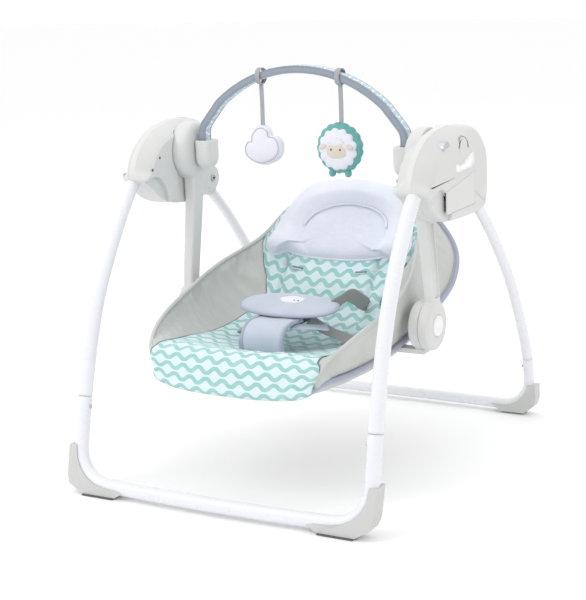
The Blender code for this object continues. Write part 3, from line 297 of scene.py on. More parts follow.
M = {
    "shell": plastic("shell_plastic", (0.675, 0.680, 0.670)),
    "shoe": plastic("shoe_plastic", (0.575, 0.580, 0.570)),
    "groove": plastic("groove_shadow", (0.16, 0.16, 0.16), 0.8),
    # painted shade: a darker copy of the shell plastic, for recesses and joint lines
    "shell_painted_shade": plastic("shell_recess_painted_shade", (0.50, 0.505, 0.49), 0.6),
    "white": plastic("button_plastic", (0.86, 0.86, 0.86), 0.35, coat=0.2),
    "label": plastic("blank_label", (0.93, 0.93, 0.93), 0.3),
    "black": plastic("black_plastic", (0.012, 0.012, 0.014), 0.4),
    "tube": paint("tube_paint", (0.80, 0.815, 0.85)),
    "rubber": rubber("pad_rubber", (0.10, 0.10, 0.10)),
    "steel": metal("bare_steel", (0.56, 0.56, 0.58)),
    # painted shade: near black for deep screw holes and cross recesses
    "gap": plastic("gap_painted_shade", (0.03, 0.03, 0.032), 0.8),
    "board": plastic("board_green", (0.03, 0.20, 0.08), 0.5),
    "cell": plastic("cell_wrap", (0.08, 0.08, 0.10), 0.35),
    "side": fabric("side_cloth", (0.585, 0.600, 0.580), 0.0012, 0.7, 0.15),
    "wave": wave_print("wave_cloth", (0.69, 0.83, 0.86), (0.345, 0.61, 0.58), (0.285, 0.545, 0.52)),
    "bar": wave_print("bar_cloth", (0.50, 0.63, 0.70), (0.82, 0.87, 0.90), (0.70, 0.80, 0.85), 0.020, 0.0120,
                      0.0022, 0.0015),
    "sleeve": fabric("sleeve_cloth", (0.315, 0.355, 0.415), 0.0009, 0.4, 0.2),
    "ribbon": fabric("ribbon_cloth", (0.40, 0.41, 0.44), 0.0008, 0.3, 0.1),
    # painted shade: a darker copy of the velour for the headrest's sunk oval
    "velour_sunk_painted_shade": fabric("velour_sunk_painted_shade_cloth", (0.755, 0.775, 0.875), 0.0014, 1.4, 0.5, 0.05, 0.95),
    "velour": fabric("velour_cloth", (0.80, 0.82, 0.91), 0.0014, 1.4, 0.5, 0.05, 0.95),
    "jersey": fabric("jersey_cloth", (0.545, 0.585, 0.68), 0.0010, 0.5, 0.25, 0.07),
    "trim": fabric("trim_cloth", (0.42, 0.45, 0.56), 0.0009, 0.4, 0.25),
    "webbing": fabric("webbing", (0.375, 0.375, 0.37), 0.0016, 0.5, 0.1, 0.08, 0.8),
    "thread": fabric("thread", (0.70, 0.74, 0.80), 0.0006, 0.3, 0.1),
    # painted shade: dark teal for the shade in the pad's seam creases and inside the strap slits
    "seam": fabric("seam_and_slit_painted_shade", (0.16, 0.28, 0.27), 0.0006, 0.3, 0.1),
    "plush": fabric("plush_cloth", (0.80, 0.80, 0.87), 0.0016, 1.8, 0.6, 0.04, 0.96),
    "cream": fabric("cream_cloth", (0.72, 0.66, 0.56), 0.0012, 0.6, 0.2),
    "teal": fabric("teal_cloth", (0.15, 0.42, 0.40), 0.0012, 0.8, 0.3),
}


# ------------------------------------------------------------------ mesh helpers
def as_mesh(name, verts, faces, mat, uvs=None):
    """Smooth-shaded piece; its cloth coordinates are uvs, one for each vertex, or else its own x and y."""
    mesh = bpy.data.meshes.new(name)
    mesh.from_pydata([tuple(map(float, v)) for v in verts], [], faces)
    mesh.validate()
    layer = mesh.uv_layers.new(name="cloth")
    table = np.array([v.co[:2] for v in mesh.vertices]) if uvs is None else np.asarray(uvs, float)
    layer.data.foreach_set("uv", np.array([table[loop.vertex_index] for loop in mesh.loops]).ravel())
    mesh.materials.append(mat)
    mesh.shade_smooth()
    obj = bpy.data.objects.new(name, mesh)
    bpy.context.scene.collection.objects.link(obj)
    return obj


def grid_faces(rows, columns, wrap_rows=False, wrap_columns=False):
    faces = []
    for j in range(rows if wrap_rows else rows - 1):
        for i in range(columns if wrap_columns else columns - 1):
            a, b = j * columns + i, j * columns + (i + 1) % columns
            c, d = ((j + 1) % rows) * columns + (i + 1) % columns, ((j + 1) % rows) * columns + i
            faces.append((a, b, c, d))
    return faces


def grid_piece(name, points, mat, wrap_rows=False, wrap_columns=True, uvs=None, caps=True):
    """Skin over a grid of points (rows, columns, 3); the caps close a tube's first and last row."""
    points = np.asarray(points, float)
    rows, columns = points.shape[:2]
    faces = grid_faces(rows, columns, wrap_rows, wrap_columns)
    if caps:
        faces.append(tuple(range(columns))[::-1])
        faces.append(tuple(range((rows - 1) * columns, rows * columns)))
    flat_uv = None if uvs is None else np.asarray(uvs, float).reshape(-1, 2)
    return as_mesh(name, points.reshape(-1, 3), faces, mat, flat_uv)


def slab_piece(name, top, under, mat, uvs=None):
    """Closed thin form between two grids of the same size."""
    ring = np.concatenate([top, under[:, ::-1]], 1)
    rows, columns = ring.shape[:2]
    faces = grid_faces(rows, columns, False, True)
    for start in (0, (rows - 1) * columns):
        for i in range(columns // 2 - 1):
            faces.append((start + i, start + i + 1, start + columns - 2 - i, start + columns - 1 - i))
    flat_uv = None if uvs is None else np.concatenate([uvs, uvs[:, ::-1]], 1).reshape(-1, 2)
    return facing_out(as_mesh(name, ring.reshape(-1, 3), faces, mat, flat_uv))


def facing_out(obj):
    """Turns every face of a closed piece outward."""
    bm = bmesh.new()
    bm.from_mesh(obj.data)
    bmesh.ops.recalc_face_normals(bm, faces=bm.faces)
    bm.to_mesh(obj.data)
    bm.free()
    return obj


def sharp(obj, degrees):
    obj.data.set_sharp_from_angle(angle=math.radians(degrees))


def modifier(obj, kind, **values):
    mod = obj.modifiers.new(kind.lower(), kind)
    for key, value in values.items():
        setattr(mod, key, value)
    return mod


def applied(obj):
    """Applies every modifier of the piece to its mesh."""
    graph = bpy.context.evaluated_depsgraph_get()
    mesh = bpy.data.meshes.new_from_object(obj.evaluated_get(graph), preserve_all_data_layers=True,
                                           depsgraph=graph)
    old = obj.data
    obj.modifiers.clear()
    obj.data = mesh
    bpy.data.meshes.remove(old)


def carve(obj, *tools):
    """Cuts the tools out of the piece and removes them."""
    for tool in tools:
        facing_out(tool)
        modifier(obj, 'BOOLEAN', operation='DIFFERENCE', solver='MANIFOLD', object=tool)
    applied(obj)
    for tool in tools:
        bpy.data.objects.remove(tool, do_unlink=True)


def melt(obj, voxel, passes):
    """Fuses overlapping closed forms into one skin with softened inside corners."""
    modifier(obj, 'REMESH', mode='VOXEL', voxel_size=voxel, use_smooth_shade=True)
    modifier(obj, 'SMOOTH', factor=0.5, iterations=passes)
    applied(obj)


def together(name, parts):
    """Joins pieces into one mesh, in the first piece's material."""
    bm = bmesh.new()
    for part in parts:
        facing_out(part)
        part.data.transform(part.matrix_world)
        bm.from_mesh(part.data)
    mesh = bpy.data.meshes.new(name)
    bm.to_mesh(mesh)
    bm.free()
    mesh.materials.append(parts[0].data.materials[0])
    for part in parts:
        bpy.data.objects.remove(part, do_unlink=True)
    obj = bpy.data.objects.new(name, mesh)
    bpy.context.scene.collection.objects.link(obj)
    mesh.shade_smooth()
    return obj


def between(a, b, c, d, t):
    """Catmull-Rom point from b to c, with neighbours a and d."""
    return 0.5 * ((2 * b) + (c - a) * t + (2 * a - 5 * b + 4 * c - d) * t * t
                  + (3 * b - a - 3 * c + d) * t ** 3)


def spline(points, steps, closed=False):
    """Catmull-Rom curve through the points as an array."""
    pts = np.asarray(points, float)
    if closed:
        pts = np.vstack([pts[-1], pts, pts[0], pts[1]])
    else:
        pts = np.vstack([2 * pts[0] - pts[1], pts, 2 * pts[-1] - pts[-2]])
    path = []
    for i in range(1, len(pts) - 2):
        path += [between(*pts[i - 1:i + 3], k / steps) for k in range(steps)]
    if not closed:
        path.append(pts[-2])
    return np.array(path)


def run_of(path):
    """Distance along the path at each of its points."""
    return np.concatenate([[0], np.cumsum(np.linalg.norm(np.diff(path, axis=0), axis=1))])


def even(path, count, closed=False):
    """The path again with evenly spaced points."""
    path = np.asarray(path, float)
    loop = np.vstack([path, path[0]]) if closed else path
    run = run_of(loop)
    stops = np.linspace(0, run[-1], count + 1)[:-1] if closed else np.linspace(0, run[-1], count)
    return np.stack([np.interp(stops, run, loop[:, k]) for k in range(path.shape[1])], 1)


def smooth(value, low, high):
    """0 below low, 1 above high, and an even ease between."""
    t = np.clip((value - low) / (high - low), 0, 1)
    return t * t * (3 - 2 * t)


def unit(v):
    v = np.asarray(v, float)
    return v / np.maximum(np.linalg.norm(v, axis=-1, keepdims=True), 1e-12)


def path_frames(path, hint, closed=False):
    """Tangent, first and second cross direction at each point; the first one leans to the hint."""
    path = np.asarray(path, float)
    if closed:
        tangent = unit(np.roll(path, -1, 0) - np.roll(path, 1, 0))
    else:
        tangent = unit(np.gradient(path, axis=0))
    hint = np.broadcast_to(np.asarray(hint, float), path.shape)
    first = unit(hint - tangent * (hint * tangent).sum(1, keepdims=True))
    return tangent, first, np.cross(tangent, first)


def ribbon(name, path, hint, section, mat, closed=False):
    """Sweeps an outline of (a, b) along a path; section may be one outline or one for each point."""
    path = np.asarray(path, float)
    _, first, second = path_frames(path, hint, closed)
    outline = np.asarray(section, float)
    if outline.ndim == 2:
        outline = np.broadcast_to(outline, (len(path), *outline.shape))
    points = path[:, None] + first[:, None] * outline[..., :1] + second[:, None] * outline[..., 1:]
    uvs = np.stack(np.broadcast_arrays(run_of(outline[0])[None, :], run_of(path)[:, None]), -1)
    return grid_piece(name, points, mat, closed, uvs=uvs, caps=not closed)


def ring_of(radius, count=32):
    """Circle outline."""
    angle = np.linspace(0, 2 * math.pi, count, endpoint=False)
    return np.stack([np.cos(angle), np.sin(angle)], 1) * radius


def pill(half_a, half_b, corner, steps=6):
    """Rectangle outline with rounded corners."""
    points = []
    for cx, cy, start in ((1, 1, 0), (-1, 1, 90), (-1, -1, 180), (1, -1, 270)):
        for k in range(steps + 1):
            angle = math.radians(start + 90 * k / steps)
            points.append((cx * (half_a - corner) + corner * math.cos(angle),
                           cy * (half_b - corner) + corner * math.sin(angle)))
    return np.array(points)


def lathe(name, side, y, z, profile, mat, count=72, closed=False):
    """Turned piece about an axis along X; profile is (|x|, radius)."""
    ring = ring_of(1.0, count)
    points = [[(side * x, y + r * a, z + r * b) for a, b in ring] for x, r in profile]
    return facing_out(grid_piece(name, points, mat, closed, caps=not closed))


def prism(name, side, outline, low_x, high_x, mat):
    """Straight block along X over an outline of (y, z)."""
    points = [[(side * x, y, z) for y, z in outline] for x in (low_x, high_x)]
    return facing_out(grid_piece(name, points, mat))


def on(obj, body, slot_name, *nodes):
    """Rides the piece on a body and hides the CAD nodes that it stands for."""
    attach(obj, body)
    if nodes:
        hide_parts(*nodes)
    return obj


def repaint(node, mat, bevel=0.0):
    """Gives a CAD node its material, and rounds its edges by the bevel."""
    obj = NODES[node]
    obj.data.materials.clear()
    obj.data.materials.append(mat)
    if "cloth" not in obj.data.uv_layers:
        obj.data.uv_layers.new(name="cloth")
    if bevel:
        modifier(obj, 'WELD', merge_threshold=0.00002)
        modifier(obj, 'BEVEL', width=bevel, segments=2, limit_method='ANGLE', angle_limit=math.radians(40))


# ------------------------------------------------------------------ stand
FRONT_R, REAR_R = 0.0122, 0.0098
FRONT_SEAM_Z, REAR_SEAM_Z, SEAM_GAP = 0.157, 0.112, 0.0010
FRONT_RAIL = (-0.3498, 0.0172)          # rail centre as (y, z)
REAR_RAIL = (0.3522, 0.0148)
FRONT_LEG = [(0.2740, FRONT_RAIL[0] + 0.013, FRONT_RAIL[1]), (0.2725, -0.306, FRONT_SEAM_Z),
             (0.2705, -0.266, 0.290), (0.2680, -0.218, 0.386), (0.2670, -0.149, 0.482),
             (0.2670, -0.092, 0.530)]
REAR_LEG = [(0.2820, REAR_RAIL[0] - 0.005, REAR_RAIL[1]), (0.2780, 0.3385, REAR_SEAM_Z),
            (0.2730, 0.312, 0.195), (0.2700, 0.259, 0.290), (0.2690, 0.177, 0.386),
            (0.2680, 0.0994, 0.4581)]
LEG_STEPS = 14
MIRROR = np.array([-1, 1, 1])


def crossing(path, z):
    """The point where an upward path reaches height z."""
    i = int(np.argmax(path[:, 2] >= z))
    a, b = path[i - 1], path[i]
    return a + (b - a) * (z - a[2]) / (b[2] - a[2])


def arc_between(before, corner, after, radius, steps=14):
    """Arc of the given radius that rounds a corner between two straight runs."""
    u, v = unit(before - corner), unit(after - corner)
    half = math.acos(float(np.clip(u @ v, -1, 1))) / 2
    start = corner + u * radius / math.tan(half)
    stop = corner + v * radius / math.tan(half)
    centre = corner + unit(u + v) * radius / math.sin(half)
    spread = math.pi - 2 * half
    a, b = start - centre, stop - centre
    share = np.linspace(0, 1, steps)[:, None]
    return centre + (a * np.sin((1 - share) * spread) + b * np.sin(share * spread)) / math.sin(spread)


def base_line(leg, seam_z, rail, bow, radius):
    """Centre line of a base tube: down one leg, along the bowed rail and up the other leg."""
    path = spline(leg, LEG_STEPS)
    seam, corner = crossing(path, seam_z), path[0]
    sign = math.copysign(1.0, -rail[0])
    toward = np.array([corner[0] * 0.5, rail[0] + sign * bow * 0.25, rail[1]])
    half = [seam, *arc_between(seam, corner, toward, radius)]
    for share in np.linspace(0.72, 0.06, 12):
        half.append(np.array([corner[0] * share, rail[0] + sign * bow * share * share, rail[1]]))
    half = np.array(half)
    return np.vstack([half, [[0, rail[0], rail[1]]], half[::-1] * MIRROR])


def stand():
    """Base tubes, upper legs and the joints between them."""
    for end, leg, radius, seam_z, rail, bow, bend, body in (
            ("front", FRONT_LEG, FRONT_R, FRONT_SEAM_Z, FRONT_RAIL, 0.013, 0.062, "stand"),
            ("rear", REAR_LEG, REAR_R, REAR_SEAM_Z, REAR_RAIL, 0.005, 0.055, "rear_frame")):
        line = even(base_line(leg, seam_z, rail, bow, bend), 150)
        tube = ribbon(f"{end}_base_tube_skin", line, (0, 1, 0.05), ring_of(radius), M["tube"])
        on(tube, body, "tube_paint", f"{end}_base_tube")
        for side, word in SIDES:
            flip = np.array([side, 1, 1])
            path = spline(leg, LEG_STEPS)
            top = path[path[:, 2] > seam_z + 0.003]
            upper = np.vstack([crossing(path, seam_z + SEAM_GAP)[None], top]) * flip
            skin = ribbon(f"{end}_leg_{word}_skin", even(upper, 90), (1, 0, 0), ring_of(radius), M["tube"])
            on(skin, body, "tube_paint", f"{end}_leg_{word}")
            plug = np.array([crossing(path, seam_z - 0.012), crossing(path, seam_z + 0.008)]) * flip
            # painted shade: the plug's darker plastic draws a shadow line at the joint
            core = ribbon(f"{end}_plug_{word}", plug, (1, 0, 0), ring_of(radius - 0.0012), M["shell_painted_shade"])
            on(core, body, "tube_paint")
            repaint(f"{end}_foot_{word}", M["shoe"], 0.0016)
            repaint(f"{end}_pad_{word}", M["rubber"], 0.0004)
            repaint(f"{end}_snap_{word}", M["steel"])


# ------------------------------------------------------------------ housings
# Places are (y, z), and X positions are distances from the middle plane.
AXLE = (-0.008, 0.538)
FOLD = (0.088, 0.472)
HUB = (-0.010, 0.255)
SEAM_X, FACE_IN, FACE_OUT = 0.2670, 0.2320, 0.2940
HALF_PARTING = 0.00015
TIP_NARROWS = 0.30                      # share of its width that the left outer half loses at the nose
HEAD_R = 0.051
SCREWS = ((-0.101, 0.535), (-0.125, 0.517))
DIAL = (0.0, 0.5575)


def housing_curve(rear_y, lift):
    """Side outline of a housing half; lift raises its lower edge."""
    points = [(-0.1475, 0.5020), (-0.1240, 0.4845), (-0.1000, 0.4610), (-0.0700, 0.4450), (-0.0200, 0.4375),
              (rear_y - 0.030, 0.4370), (rear_y - 0.006, 0.4520), (rear_y, 0.4950), (rear_y - 0.008, 0.5450),
              (rear_y * 0.45 + 0.010, 0.5830), (0.0, 0.5920), (-0.0480, 0.5885), (-0.0880, 0.5780),
              (-0.1195, 0.5580), (-0.1395, 0.5320)]
    curve = even(spline(points, 10, True), 168, True)
    curve[:, 1] += lift * np.clip((0.500 - curve[:, 1]) / 0.05, 0, 1)
    return curve


def inward(curve):
    """Unit direction to the inside at each point of a closed outline."""
    step = unit(np.roll(curve, -1, 0) - np.roll(curve, 1, 0))
    area = (curve[:, 0] * np.roll(curve[:, 1], -1) - np.roll(curve[:, 0], -1) * curve[:, 1]).sum()
    turn = 1.0 if area > 0 else -1.0
    return np.stack([-turn * step[:, 1], turn * step[:, 0]], 1)


def housing_skin(curve, seam_x, face_x, wide, narrow, rise_wide, rise_narrow, wall):
    """Rings of one half, from its seam to its face; the front top edge has a wide soft slope."""
    y, z = curve[:, 0], curve[:, 1]
    front = smooth(np.clip((0.045 - y) / 0.06, 0, 1) * np.clip((z - 0.492) / 0.03, 0, 1), 0, 1)
    normal = inward(curve)
    centre = np.array([-0.02, 0.512])
    aim = unit(normal * 0.75 + unit(centre - curve) * 0.25 * front[:, None])
    width = narrow + (wide - narrow) * front
    rise = rise_narrow + (rise_wide - rise_narrow) * front
    direction = math.copysign(1.0, face_x - seam_x)
    rings = []
    ground = curve + normal * wall
    face = face_x - direction * wall
    rings.append(np.column_stack([np.full(len(y), seam_x), ground]))
    for t in (0.0, 0.03, 0.08, 0.16, 0.26, 0.38, 0.52, 0.68, 0.84, 1.0):
        soft = (1 - (1 - t) ** 2.7) ** (1 / 2.7)
        crisp = math.sin(1.16 * t) / math.sin(1.16)
        up = soft + (crisp - soft) * front
        x = face - direction * rise * (1 - up)
        rings.append(np.column_stack([x, ground + aim * (width * t)[:, None]]))
    last = rings[-1][:, 1:]
    for share in (0.3, 0.6, 0.85):
        rings.append(np.column_stack([np.full(len(y), face), last + (centre - last) * share]))
    return rings


def housing_half(name, side, rear_y, seam_x, face_x, slope, wall, lift):
    """One half of a housing: hollow with the given wall, or a block where the wall is 0."""
    curve = housing_curve(rear_y, lift)
    rings = housing_skin(curve, seam_x, face_x, *slope, 0.0)[::-1]
    if wall:
        rings += housing_skin(curve, seam_x, face_x, *slope, wall)
    verts = np.vstack(rings)
    if side < 0 and face_x > seam_x:
        narrowing = 1 - TIP_NARROWS * np.clip((-verts[:, 1] - 0.100) / 0.050, 0, 1)
        verts[:, 0] = seam_x + (verts[:, 0] - seam_x) * narrowing
    verts = verts * np.array([side, 1, 1])
    faces = grid_faces(len(rings), len(curve), False, True)
    count = len(curve)
    faces.append(tuple(range(count))[::-1])
    faces.append(tuple(range(len(verts) - count, len(verts))))
    return facing_out(as_mesh(name, verts, faces, M["shell"]))


def arm_slot():
    """Room for the arm and its head through the whole swing."""
    swing, reach = math.radians(12.0), 0.108
    half = 0.0155 / math.cos(swing) + reach * math.tan(swing) + 0.001
    radius = HEAD_R + 0.0026
    start = math.asin(half / radius)
    angle = np.linspace(-math.pi / 2 + start, 1.5 * math.pi - start, 60)
    arc = np.column_stack([AXLE[0] + radius * np.cos(angle), AXLE[1] + radius * np.sin(angle)])
    return np.vstack([[AXLE[0] + half, AXLE[1] - reach], arc, [AXLE[0] - half, AXLE[1] - reach]])


def fold_room():
    """Room for the rear leg from standing to folded."""
    rest = math.degrees(math.atan2(0.0114, 0.0139))
    angle = np.arange(-180, 180, 3.75)
    near = (angle >= rest - 94) & (angle <= rest + 34)
    radius = np.where(near, 0.095, 0.0262)
    angle = np.radians(angle)
    return np.column_stack([FOLD[0] + radius * np.sin(angle), FOLD[1] - radius * np.cos(angle)])


def soft_block(name, points, side, low_x, high_x):
    """Block over a rounded outline."""
    return prism(name, side, even(spline(points, 8, True), 64, True), low_x, high_x, M["shell"])


def leg_hole(side, name):
    """Bore that the upper end of a front leg fills."""
    path = spline(FRONT_LEG, LEG_STEPS)
    path = path[(path[:, 2] > 0.40) & (path[:, 2] < 0.4875)] * np.array([side, 1, 1])
    return facing_out(ribbon(name, path, (1, 0, 0), ring_of(FRONT_R + 0.0004, 40), M["shell"]))


DOOR = [(-0.0703, 0.4557), (0.0483, 0.4557), (0.0483, 0.5113), (-0.0703, 0.4933)]
POCKET = [(-0.150, 0.415), (-0.142, 0.452), (-0.128, 0.482), (-0.108, 0.4985), (-0.086, 0.4995),
          (-0.066, 0.488), (-0.054, 0.466), (-0.046, 0.440), (-0.042, 0.415)]
BAY = [(-0.0640, 0.4600), (0.0430, 0.4600), (0.0430, 0.5060), (-0.0640, 0.4900)]
LOBE = [(-0.175, 0.420), (-0.165, 0.470), (-0.150, 0.4945), (-0.128, 0.5035), (-0.106, 0.5010),
        (-0.090, 0.489), (-0.078, 0.468), (-0.070, 0.445), (-0.066, 0.420)]


def housing(side, word, prefix):
    """Both halves of one housing, with its openings and case screws."""
    lift = 0.0070 if side < 0 else 0.0
    outer = housing_half(f"{prefix}_outer_skin", side, 0.1130, SEAM_X + HALF_PARTING, FACE_OUT,
                         (0.029, 0.015, 0.0265, 0.024), 0.0, lift)
    inner = housing_half(f"{prefix}_inner_skin", side, 0.0600, SEAM_X - HALF_PARTING, FACE_IN,
                         (0.021, 0.0065, 0.024, 0.008), 0.0095, lift)
    tools = [leg_hole(side, "bore_a"), prism("room_a", side, fold_room(), 0.2600, 0.2825, M["shell"])]
    if side > 0:
        tools += [prism("door_gap", 1, DOOR, 0.2885, 0.2970, M["shell"]),
                  prism("bay", 1, BAY, 0.2650, 0.2950, M["shell"]),
                  lathe("dial_gap", 1, *DIAL, [(0.2900, 0.0170), (0.2970, 0.0170)], M["shell"]),
                  soft_block("pocket", POCKET, 1, 0.2862, 0.3000)]
    carve(outer, *tools)
    tools = [leg_hole(side, "bore_b"), prism("room_b", side, fold_room(), 0.2425, 0.2825, M["shell"]),
             prism("slot", side, arm_slot(), 0.2250, 0.2386, M["shell"]),
             soft_block("lobe", LOBE, side, 0.2250, 0.2385)]
    carve(inner, *tools)
    for obj, node in ((outer, f"{prefix}_outer"), (inner, f"{prefix}_inner")):
        for face in obj.data.polygons:
            face.use_smooth = abs(face.normal.x) < 0.9995
        sharp(obj, 26)
        modifier(obj, 'WEIGHTED_NORMAL', keep_sharp=True)
        on(obj, "stand", "shell_plastic", node)
    rim, deep, hole_r, screw_r = FACE_IN - 0.0002, FACE_IN + 0.004, 0.0030, 0.0022
    for number, (y, z) in enumerate(SCREWS):
        profile = [(rim, hole_r), (rim, screw_r), (deep, screw_r), (deep, hole_r)]
        # painted shade: the ring round each case screw is darker plastic
        hole = lathe(f"{prefix}_screw_hole_{number}", side, y, z, profile, M["shell_painted_shade"], 24, True)
        on(hole, "stand", "shell_plastic")
        # painted shade: the case screw is drawn near black, as shade deep in its hole
        screw = lathe(f"{prefix}_case_screw_{number}", side, y, z,
                      [(rim + 0.0001, screw_r), (deep, screw_r)], M["gap"], 24)
        on(screw, "stand", "bare_steel")


def motor_face():
    """What lies on and behind the motor housing's face."""
    repaint("battery_door", M["shell"], 0.0005)
    low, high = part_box("circuit_board")
    outline = [(low[1] + 0.004, low[2] + 0.001), (high[1] - 0.004, low[2] + 0.001),
               (high[1] - 0.004, high[2] - 0.016), (low[1] + 0.004, high[2] - 0.016)]
    board = prism("circuit_board_skin", 1, outline, low[0], min(high[0], 0.2862), M["board"])
    on(board, "stand", "board", "circuit_board")
    repaint("speed_dial", M["shell"], 0.0004)
    # painted shadow: a near-black crescent on the face stands for the shade inside the dial's round recess
    angle = np.radians(np.linspace(14, 158, 40))[:, None]
    turn = np.hstack([np.cos(angle), np.sin(angle)])
    crescent = np.vstack([turn * 0.0215 + (0, 0.5500), turn[::-1] * (0.0195, 0.0190) + (0, 0.5485)])
    groove = prism("dial_recess_painted_shadow", 1, crescent, FACE_OUT - 0.0006, FACE_OUT + 0.0006, M["groove"])
    on(groove, "stand", "shell_plastic")
    outline = even(spline([(-0.0300, 0.5195), (-0.0310, 0.5330), (-0.0170, 0.5290), (0.0, 0.5300),
                           (0.0190, 0.5380), (0.0400, 0.5440), (0.0440, 0.5330), (0.0420, 0.5225),
                           (0.0060, 0.5190)], 6, True), 60, True)
    label = prism("blank_label", 1, outline, FACE_OUT - 0.0006, FACE_OUT + 0.0008, M["label"])
    on(label, "stand", "button_plastic")
    # painted shade: the floor under the dial is darker plastic
    floor = lathe("dial_floor", 1, *DIAL, [(0.2890, 0.0178), (0.2902, 0.0178)], M["shell_painted_shade"])
    on(floor, "stand", "shell_plastic")
    for node, mat in (("drive_gear", "white"), ("motor_pinion", "white"), ("drive_motor", "steel"),
                      ("speaker", "black"), *((f"battery_cell_{number}", "cell") for number in (1, 2, 3, 4))):
        repaint(node, M[mat])


# ------------------------------------------------------------------ pivots, arms and brackets
def cross_screw(name, side, y, z, x):
    """Cross recess on a screw head, drawn as near-black bars of painted shade."""
    long, short = 0.0046, 0.0046 * 0.28
    for number, (half_y, half_z) in enumerate(((long, short), (short, long))):
        outline = [(y + a * half_y, z + b * half_z) for a, b in ((-1, -1), (1, -1), (1, 1), (-1, 1))]
        bar = prism(f"{name}_cross_{number}", side, outline, x - 0.0001, x + 0.0012, M["gap"])
        on(bar, "stand", "bare_steel")


def arm(side, word):
    """Swing arm with its round head and hub, and the small parts on its side."""
    top, foot = 0.2255, 0.2380
    line = spline([(top, AXLE[0], AXLE[1]), (top, AXLE[0], 0.480), (top + 0.001, AXLE[0], 0.436),
                   (foot, HUB[0], 0.310), (foot + 0.0003, HUB[0], HUB[1] + 0.010)], 12)
    share = ((AXLE[1] - line[:, 2]) / (AXLE[1] - HUB[1]))[:, None, None]
    section = pill(0.0118, 0.0162, 0.0046) * (1 - share) + pill(0.0098, 0.0138, 0.0044) * share
    flip = np.array([side, 1, 1])
    bar = ribbon("bar", line * flip, (1, 0, 0), section, M["shell"])
    head = lathe("head", side, *AXLE, [(0.2092, 0.034), (0.2096, 0.0405), (0.2118, 0.0458), (0.2158, 0.0494),
                                      (0.2212, HEAD_R), (0.2380, HEAD_R)], M["shell"])
    hub = lathe("hub", side, *HUB, [(0.2282, 0.0425), (0.2430, 0.0425), (0.2462, 0.0405), (0.2478, 0.0365)],
                M["shell"])
    obj = together(f"swing_arm_{word}_skin", [bar, head, hub])
    melt(obj, 0.0017, 7)
    channel_line = line[(line[:, 2] > 0.302) & (line[:, 2] < 0.432)] + np.array([0.0112, 0, 0])
    channel = ribbon("channel", channel_line * flip, (1, 0, 0), pill(0.0040, 0.0082, 0.0030, 3), M["shell"])
    pocket = lathe("pocket", side, *HUB, [(0.2396, 0.0191), (0.2560, 0.0191)], M["shell"])
    carve(obj, channel, pocket)
    obj.data.shade_smooth()
    sharp(obj, 42)
    on(obj, "swing", "shell_plastic", f"swing_arm_{word}")
    for node, mat, bevel in (("recline_button", "white", 0.0006), ("seat_bracket", "shell", 0.0010),
                             ("swing_axle", "steel", 0.0), ("axle_bush", "white", 0.0),
                             ("pivot_lug", "shell", 0.0010), ("pivot_screw", "steel", 0.0)):
        repaint(f"{node}_{word}", M[mat], bevel)
    cross_screw(f"pivot_{word}", side, *FOLD, 0.2415)


def socket(side, word):
    """Cup that holds one end of the toy bar."""
    top, waist, low = 0.556, 0.530, 0.505
    rings = []
    for z in np.concatenate([[top, top - 0.0012], np.linspace(top - 0.006, waist, 5),
                             waist - 0.0245 * np.sin(np.linspace(0.12, math.pi / 2, 14))]):
        sink = np.clip((waist - z) / (waist - low + 0.0001), 0, 1)
        share = math.sqrt(max(0.02, 1 - sink ** 2.4))
        trim = 0.0012 if z == top else 0.0
        section = pill((0.0154 - trim) * share ** 0.8, (0.0210 - trim) * share, 0.0100 * share ** 1.2, 7)
        rings.append([(side * 0.1932 + a, AXLE[0] + b, z) for a, b in section])
    obj = facing_out(grid_piece(f"bar_socket_{word}_skin", rings, M["shell"]))
    line = [(side * 0.196, AXLE[0], top - 0.035), (side * 0.196, AXLE[0], top + 0.02)]
    hole = ribbon("hole", line, (0, 1, 0), pill(0.0128, 0.0076, 0.0045), M["shell"])
    carve(obj, hole)
    obj.data.shade_smooth()
    sharp(obj, 40)
    on(obj, "toy_bar", "shell_plastic", f"bar_socket_{word}")


# ------------------------------------------------------------------ seat surfaces
# Rows run from the front lip to the top of the back: rim, frame hoop line, and the pad's surface and
# underside on the middle plane as (y, z).
ROWS = [
    ((0.148, -0.270, 0.214), (0.146, -0.266, 0.203), (-0.289, 0.196), (-0.283, 0.184)),
    ((0.166, -0.256, 0.246), (0.160, -0.232, 0.213), (-0.262, 0.246), (-0.240, 0.174)),
    ((0.186, -0.190, 0.274), (0.168, -0.160, 0.212), (-0.170, 0.222), (-0.165, 0.168)),
    ((0.198, -0.080, 0.300), (0.176, -0.050, 0.218), (-0.070, 0.205), (-0.060, 0.165)),
    ((0.190, 0.010, 0.328), (0.188, 0.070, 0.250), (0.020, 0.232), (0.060, 0.180)),
    ((0.158, 0.108, 0.360), (0.190, 0.180, 0.290), (0.078, 0.306), (0.160, 0.238)),
    ((0.136, 0.172, 0.402), (0.168, 0.236, 0.345), (0.150, 0.386), (0.216, 0.330)),
    ((0.096, 0.208, 0.438), (0.104, 0.226, 0.428), (0.208, 0.448), (0.226, 0.440)),
]
POWER = 0.8
TABLE = np.array([[*rim, *hoop, *inner, *outer] for rim, hoop, inner, outer in ROWS])
LAST = len(ROWS) - 1
# Share of the seat's width that the pad covers, at each row.
PAD_EDGE = ((0.0, 1.0), (0.35, 0.99), (0.65, 0.93), (0.80, 0.84), (0.95, 0.72), (1.40, 0.60), (1.97, 0.58),
            (3.00, 0.50), (4.42, 0.39), (4.73, 0.49), (5.03, 0.72), (5.12, 0.99), (6.2, 0.985), (7.0, 0.93))


def rows_at(v):
    v = np.clip(np.asarray(v, float), 0, LAST)
    i = np.minimum(v.astype(int), LAST - 1)
    return between(*(TABLE[np.clip(i + k, 0, LAST)] for k in (-1, 0, 1, 2)), (v - i)[..., None])


